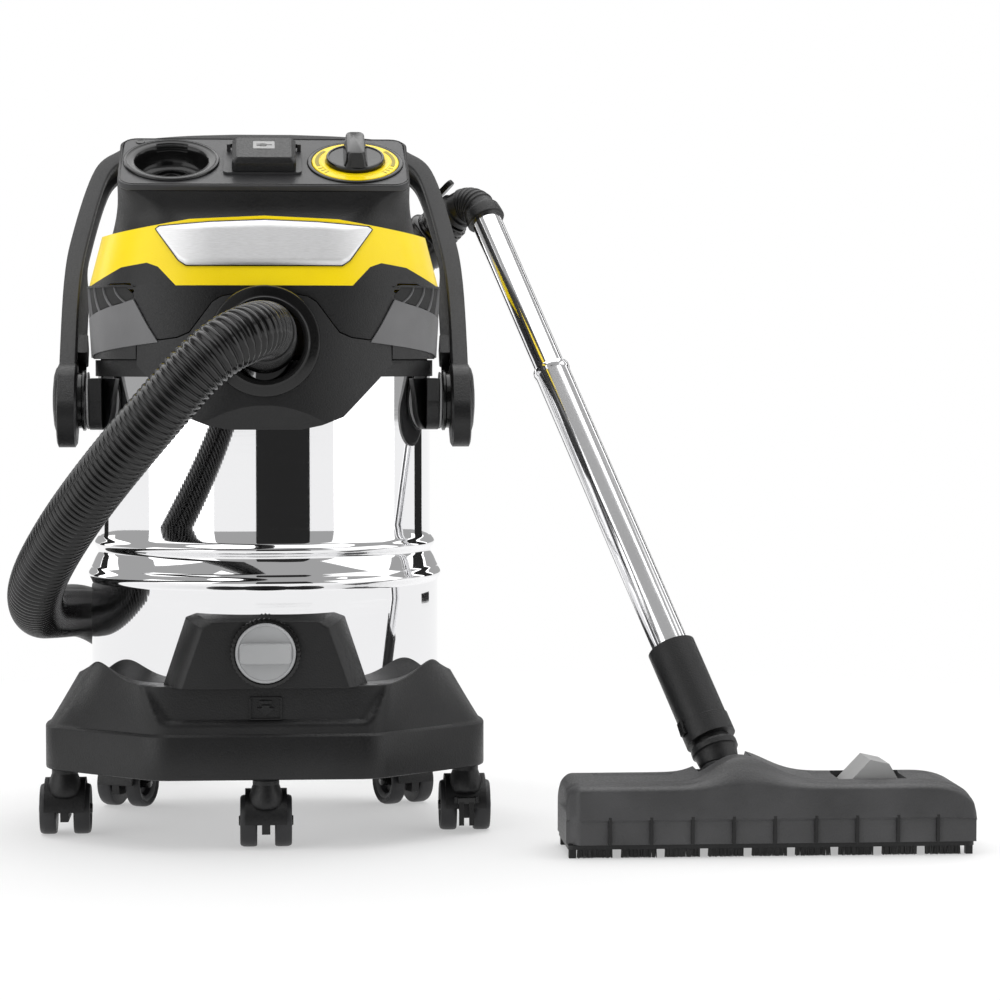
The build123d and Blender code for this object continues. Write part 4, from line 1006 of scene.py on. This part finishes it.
def end_drop(x):
    """How far the top sinks towards the rounded ends."""
    left = min(1.0, (x - body_left) / 0.014)
    right = min(1.0, (body_right - x) / 0.050)
    return 0.014 * (1 - sqrt(1 - (1 - left) ** 2)) + 0.024 * (1 - sqrt(1 - (1 - right) ** 2.4))


def hump(x, y):
    """The bell round the swivel, with its long fall to the right."""
    span_left, span_right = 0.052, 0.070
    side = (x - 0.447) / (span_left if x < 0.447 else span_right)
    across = max(0.0, (abs(y + 0.208) - 0.030) / 0.022)
    return 0.0222 * exp(-2.2 * side**2 * (1 + 0.35 * abs(side))) * exp(-across**2)


def nozzle_ring(x):
    """The body's section at x, a closed loop of (y, z)."""
    drop = end_drop(x)
    top = 0.0700 - drop
    pull = 0.35 * drop
    left_round = 0.012 * (1 - smooth_step((x - body_left) / 0.012))
    fy = front_y + left_round
    by = back_y - left_round * 0.6
    crease = 0.0374 - pull * 0.4
    points = [(fy + 0.0032, 0.0132), (fy + 0.0030, 0.0345), (fy, crease)]
    for step in range(1, 5):
        share = step / 4
        points.append((fy + 0.0030 * share, crease + (top - 0.008 - crease) * share))
    for step in range(1, 9):
        angle = pi / 2 * step / 8
        points.append((fy + 0.0030 + 0.012 * (1 - cos(angle)), top - 0.008 + 0.0062 * sin(angle)))
    edge_y = fy + 0.015
    rear_y = by - 0.018
    for step in range(1, 33):
        y = edge_y + (rear_y - edge_y) * step / 32
        rise = smooth_step((y - edge_y) / 0.010)
        points.append((y, top - 0.0018 + 0.0018 * rise))
    for step in range(1, 7):
        angle = pi / 2 * step / 6
        points.append((rear_y + 0.018 * sin(angle), top - 0.016 * (1 - cos(angle))))
    points += [(by, 0.040), (by, 0.0132)]
    return [Vector((x, y, z + (hump(x, y) if z > 0.045 else 0.0))) for y, z in points]


def inset(x, y, low_x, high_x):
    """How deep the glossy top inset is at a place."""
    inside_x = smooth_step((x - low_x) / 0.003) * smooth_step((high_x - x) / 0.003)
    inside_y = smooth_step((y + 0.236) / 0.003) * smooth_step((-0.178 - y) / 0.003)
    return 0.0016 * inside_x * inside_y


stations = [body_left + (body_right - body_left) * k / 240 for k in range(241)]
rings = []
for x in stations:
    ring = nozzle_ring(x)
    for point in ring:
        if point.z > 0.060:
            point.z -= inset(x, point.y, 0.312, 0.392) + inset(x, point.y, 0.520, 0.640)
    rings.append(ring)
nozzle_shell = loft("nozzle_shell", rings, nozzle_grey, "nozzle")


def carve(piece, cutter):
    """Cuts one mesh out of another for good."""
    cut = piece.modifiers.new("cut", "BOOLEAN")
    cut.operation = "DIFFERENCE"
    cut.object = cutter
    cut.solver = "EXACT"
    graph = bpy.context.evaluated_depsgraph_get()
    result = bpy.data.meshes.new_from_object(piece.evaluated_get(graph))
    piece.modifiers.clear()
    old = piece.data
    piece.data = result
    bpy.data.meshes.remove(old)
    cutter_mesh = cutter.data
    bpy.data.objects.remove(cutter)
    bpy.data.meshes.remove(cutter_mesh)


def cutter_box(low, high):
    """A box for cutting with."""
    corners = [(x, y, z) for x in (low[0], high[0]) for y in (low[1], high[1]) for z in (low[2], high[2])]
    faces = [(0, 1, 3, 2), (4, 6, 7, 5), (0, 4, 5, 1), (2, 3, 7, 6), (0, 2, 6, 4), (1, 5, 7, 3)]
    mesh = bpy.data.meshes.new("cutter")
    mesh.from_pydata(corners, [], faces)
    bm = bmesh.new()
    bm.from_mesh(mesh)
    bmesh.ops.recalc_face_normals(bm, faces=bm.faces)
    bm.to_mesh(mesh)
    bm.free()
    obj = bpy.data.objects.new("cutter", mesh)
    scene.collection.objects.link(obj)
    return obj


carve(nozzle_shell, cutter_box((barrel_x - 0.0255, -0.218, 0.036), (barrel_x + 0.0255, -0.134, 0.100)))
carve(nozzle_shell, cutter_box((0.289, -0.257, 0.0), (0.661, -0.165, 0.030)))
carve(nozzle_shell, cutter_box((0.544, -0.233, 0.052), (0.610, -0.171, 0.080)))
sharpen(nozzle_shell, 42)
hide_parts("nozzle_body")

for index, x in enumerate((0.321, 0.360, 0.399, 0.438, 0.477, 0.516, 0.555, 0.594, 0.632)):
    face = local_frame((x, front_y, 0.0), (1, 0, 0), (0, -1, 0))
    rib = [(-0.0016, 0.0135), (0.0016, 0.0135), (0.0016, 0.0395), (-0.0016, 0.0395)]
    prism(f"nozzle_rib_{index}", rib, face, -0.0045, 0.0, housing, "nozzle", 0.0004)

random.seed(7)
for row, y_mid in {"front": -0.253, "rear": -0.170}.items():
    points, faces = [], []
    for block in range(9):
        low_x = 0.292 + block * 0.0413
        for tuft in range(30):
            for line in range(3):
                x = low_x + tuft * 0.0011 + random.uniform(-0.0002, 0.0002)
                y = y_mid - 0.0026 + line * 0.0024 + random.uniform(-0.0003, 0.0003)
                lean = random.uniform(-0.0005, 0.0005)
                half = 0.00042
                start = len(points)
                for z, shift in ((0.0090, 0.0), (0.0001 + random.uniform(0, 0.0006), lean)):
                    points += [(x - half + shift, y - half, z), (x + half + shift, y - half, z),
                               (x + half + shift, y + half, z), (x - half + shift, y + half, z)]
                faces += [(start + a, start + (a + 1) % 4, start + 4 + (a + 1) % 4, start + 4 + a)
                          for a in range(4)]
                faces += [(start + 3, start + 2, start + 1, start),
                          (start + 4, start + 5, start + 6, start + 7)]
    bristles = make_object("bristles_" + row, points, faces, bristle_black, "nozzle", smooth=False)
    if row == "front":
        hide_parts("brush_strips")
    for end, x in {"left": 0.2865, "right": 0.6635}.items():
        skid = local_frame((x, y_mid, 0.0), (1, 0, 0), (0, -1, 0))
        prism(f"skid_{row}_{end}", [(-0.0035, 0.0003), (0.0035, 0.0003), (0.0035, 0.0140),
                                    (-0.0035, 0.0140)], skid, -0.0035,
              0.0035, housing, "nozzle", 0.0005)

# ------------------------------------------------------------------ castor wheels
castor_turns = {"front": 0, "left": 0, "right": 0, "rear_left": -25, "rear_right": 25}
half_wheel = [
    (0.0001, 0.0140), (0.0055, 0.0140), (0.0060, 0.0152), (0.0120, 0.0156), (0.0135, 0.0205),
    (0.0175, 0.0226),
    (0.0190, 0.0226), (0.0205, 0.0238), (0.0222, 0.0248), (0.0238, 0.0240), (0.0248, 0.0215),
    (0.0250, 0.0180),
    (0.0250, 0.0120), (0.0246, 0.0095), (0.0236, 0.0085), (0.0120, 0.0085), (0.0001, 0.0085),
]
for name, turn in castor_turns.items():
    low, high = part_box("castor_wheels_" + name)
    centre = (low + high) / 2
    axle = Vector((cos(radians(turn)), sin(radians(turn)), 0))
    for side in (-1, 1):
        wheel = lathe(f"wheel_{name}_{'a' if side < 0 else 'b'}", half_wheel, centre, axle * side, tread,
                      "wheels_" + name, 64)
        sharpen(wheel, 38)
        if side < 0:
            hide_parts("castor_wheels_" + name)
    pin_profile = [(0.0001, -0.0262), (0.0044, -0.0262), (0.0050, -0.0252), (0.0050, 0.0252),
                   (0.0044, 0.0262), (0.0001, 0.0262)]
    lathe("wheel_axle_" + name, pin_profile, centre, axle, gloss_black, "wheels_" + name, 32)
    trail = Vector((-sin(radians(turn)), cos(radians(turn)), 0))
    stem_foot = centre - trail * 0.014
    stem_foot.z = 0.0
    stem_profile = [(0.0001, 0.0360), (0.0165, 0.0400), (0.0172, 0.0440), (0.0165, 0.0500),
                    (0.0148, 0.0560), (0.0120, 0.0640),
                    (0.0108, 0.0720), (0.0104, 0.0840), (0.0104, 0.0960)]
    lathe("castor_stem_" + name, stem_profile, stem_foot, (0, 0, 1), housing, "castor_" + name, 48)

# ------------------------------------------------------------------ inlet ring and cuffs
inlet_z = 0.485
ring_outline = [
    (0.0372, 0.1900), (0.0372, 0.1972), (0.0382, 0.1980), (0.0415, 0.1980), (0.0425, 0.1970),
    (0.0440, 0.1966),
    (0.0505, 0.1966), (0.0522, 0.1958), (0.0530, 0.1940), (0.0530, 0.1892), (0.0372, 0.1892),
]
ring_obj = sharpen(lathe("inlet_bayonet_ring", ring_outline, (0, 0, inlet_z), front, gloss_black, "base",
                         128,
                         closed=True), 40)
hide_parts("inlet_ring")
cuff_axis = (Vector(hose_route[1]) - Vector(hose_route[0])).normalized()
cuff_profile = [(0.0230, -0.0700), (0.0312, -0.0700)]
for rib in range(9):
    start = -0.0560 + rib * 0.0058
    radius = 0.0314 - 0.0002 * rib
    cuff_profile += [(radius - 0.0022, start), (radius - 0.0004, start + 0.0006), (radius, start + 0.0016),
                     (radius, start + 0.0034), (radius - 0.0004, start + 0.0044),
                     (radius - 0.0022, start + 0.0050)]
cuff_profile += [(0.0278, -0.0010), (0.0272, 0.0010), (0.0230, 0.0010)]
inlet_cuff = sharpen(lathe("inlet_cuff_ribbed", cuff_profile, hose_route[0], cuff_axis, hose_black,
                           "base", 96), 60)
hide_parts("hose_inlet_cuff")
end_axis = (Vector(hose_route[-1]) - Vector(hose_route[-2])).normalized()
end_profile = [(0.0225, -0.0010), (0.0270, -0.0010), (0.0288, 0.0004), (0.0290, 0.0020), (0.0290, 0.0220),
               (0.0284, 0.0240),
               (0.0262, 0.0258)]
for rib in range(4):
    start = 0.0266 + rib * 0.0060
    end_profile += [(0.0222, start), (0.0238, start + 0.0010), (0.0238, start + 0.0036),
                    (0.0222, start + 0.0046)]
end_profile += [(0.0225, 0.0512), (0.0158, 0.0516), (0.0158, 0.0640), (0.0130, 0.0640), (0.0130, 0.0)]
end_cuff = sharpen(lathe("hose_swivel_cuff", end_profile, hose_route[-1], end_axis, gloss_black, "base",
                         96), 50)
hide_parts("hose_end_cuff")

# ------------------------------------------------------------------ floor, light, flags
def plane(name, size, location, rotation, material, visible=True):
    """A flat rectangle that isn't part of the object."""
    half_x, half_y = size[0] / 2, size[1] / 2
    corners = [(-half_x, -half_y, 0), (half_x, -half_y, 0), (half_x, half_y, 0), (-half_x, half_y, 0)]
    mesh = bpy.data.meshes.new(name)
    mesh.from_pydata(corners, [], [(0, 1, 2, 3)])
    mesh.materials.append(material)
    obj = bpy.data.objects.new(name, mesh)
    obj.location = location
    obj.rotation_euler = rotation
    obj.visible_camera = visible
    scene.collection.objects.link(obj)
    return obj


floor_material, floor_tree, floor_shader = new_material("floor", (0.90, 0.90, 0.90), 0.7)
floor_place = floor_tree.nodes.new("ShaderNodeTexCoord")
floor_shift = floor_tree.nodes.new("ShaderNodeVectorMath")
floor_shift.operation = "DISTANCE"
floor_shift.inputs[1].default_value = (0.2, 0.05, 0.0)
floor_tree.links.new(floor_place.outputs["Object"], floor_shift.inputs[0])
floor_glow = floor_tree.nodes.new("ShaderNodeEmission")
floor_glow.inputs["Color"].default_value = (1.0, 1.0, 1.0, 1.0)
floor_blend = floor_tree.nodes.new("ShaderNodeMixShader")
floor_tree.links.new(span(floor_tree, floor_shift.outputs["Value"], 0.5, 1.5, 0.42, 1.0),
                     floor_blend.inputs["Fac"])
floor_tree.links.new(floor_shader.outputs["BSDF"], floor_blend.inputs[1])
floor_tree.links.new(floor_glow.outputs["Emission"], floor_blend.inputs[2])
floor_tree.links.new(floor_blend.outputs["Shader"], floor_tree.nodes["Material Output"].inputs["Surface"])
plane("floor", (40, 40), (0, 0, 0), (0, 0, 0), floor_material)

world = bpy.data.worlds.new("studio")
world.use_nodes = True
sky = world.node_tree.nodes["Background"]
sky.inputs["Color"].default_value = (1, 1, 1, 1)
seen = world.node_tree.nodes.new("ShaderNodeLightPath")
level = span(world.node_tree, seen.outputs["Is Camera Ray"], 0.0, 1.0, 0.40, 1.0)
world.node_tree.links.new(level, sky.inputs["Strength"])
scene.world = world

flag_material = new_material("flag", (0.004, 0.004, 0.004), 0.9)[0]


def flag(name, azimuth, distance, width, height, z):
    """A black card beside the set that only reflections see."""
    place = (distance * sin(radians(azimuth)), -distance * cos(radians(azimuth)), z)
    card = plane(name, (width, height), place, (radians(90), 0, radians(azimuth)), flag_material,
                 visible=False)
    card.visible_shadow = False
    card.visible_diffuse = False


flag("flag_centre", 12, 3.4, 2.2, 3.4, 1.5)
flag("flag_right", 131, 3.0, 0.7, 3.0, 1.0)
flag("flag_left", -140, 3.0, 0.5, 3.0, 1.0)


def area_light(name, radiance, size, location, target):
    """A soft box of a given brightness aimed at a point."""
    data = bpy.data.lights.new(name, "AREA")
    data.energy = radiance * pi * size[0] * size[1]
    data.shape = "RECTANGLE"
    data.size, data.size_y = size
    obj = bpy.data.objects.new(name, data)
    obj.location = location
    aim = Vector(target) - Vector(location)
    obj.rotation_euler = aim.to_track_quat("-Z", "Y").to_euler()
    scene.collection.objects.link(obj)


area_light("overhead", 1.9, (5.0, 5.0), (0.0, 0.6, 3.6), (0.1, 0.2, 0))
area_light("side_left", 1.35, (3.4, 2.8), (-2.9, -1.7, 1.3), (0, 0, 0.5))
area_light("side_right", 1.05, (3.2, 2.8), (2.9, -0.9, 1.3), (0, 0, 0.5))
area_light("back_left", 1.6, (1.4, 2.4), (-2.4, 2.4, 1.5), (0, 0, 0.4))
area_light("back_right", 1.6, (1.4, 2.4), (2.6, 2.2, 1.5), (0, 0, 0.4))
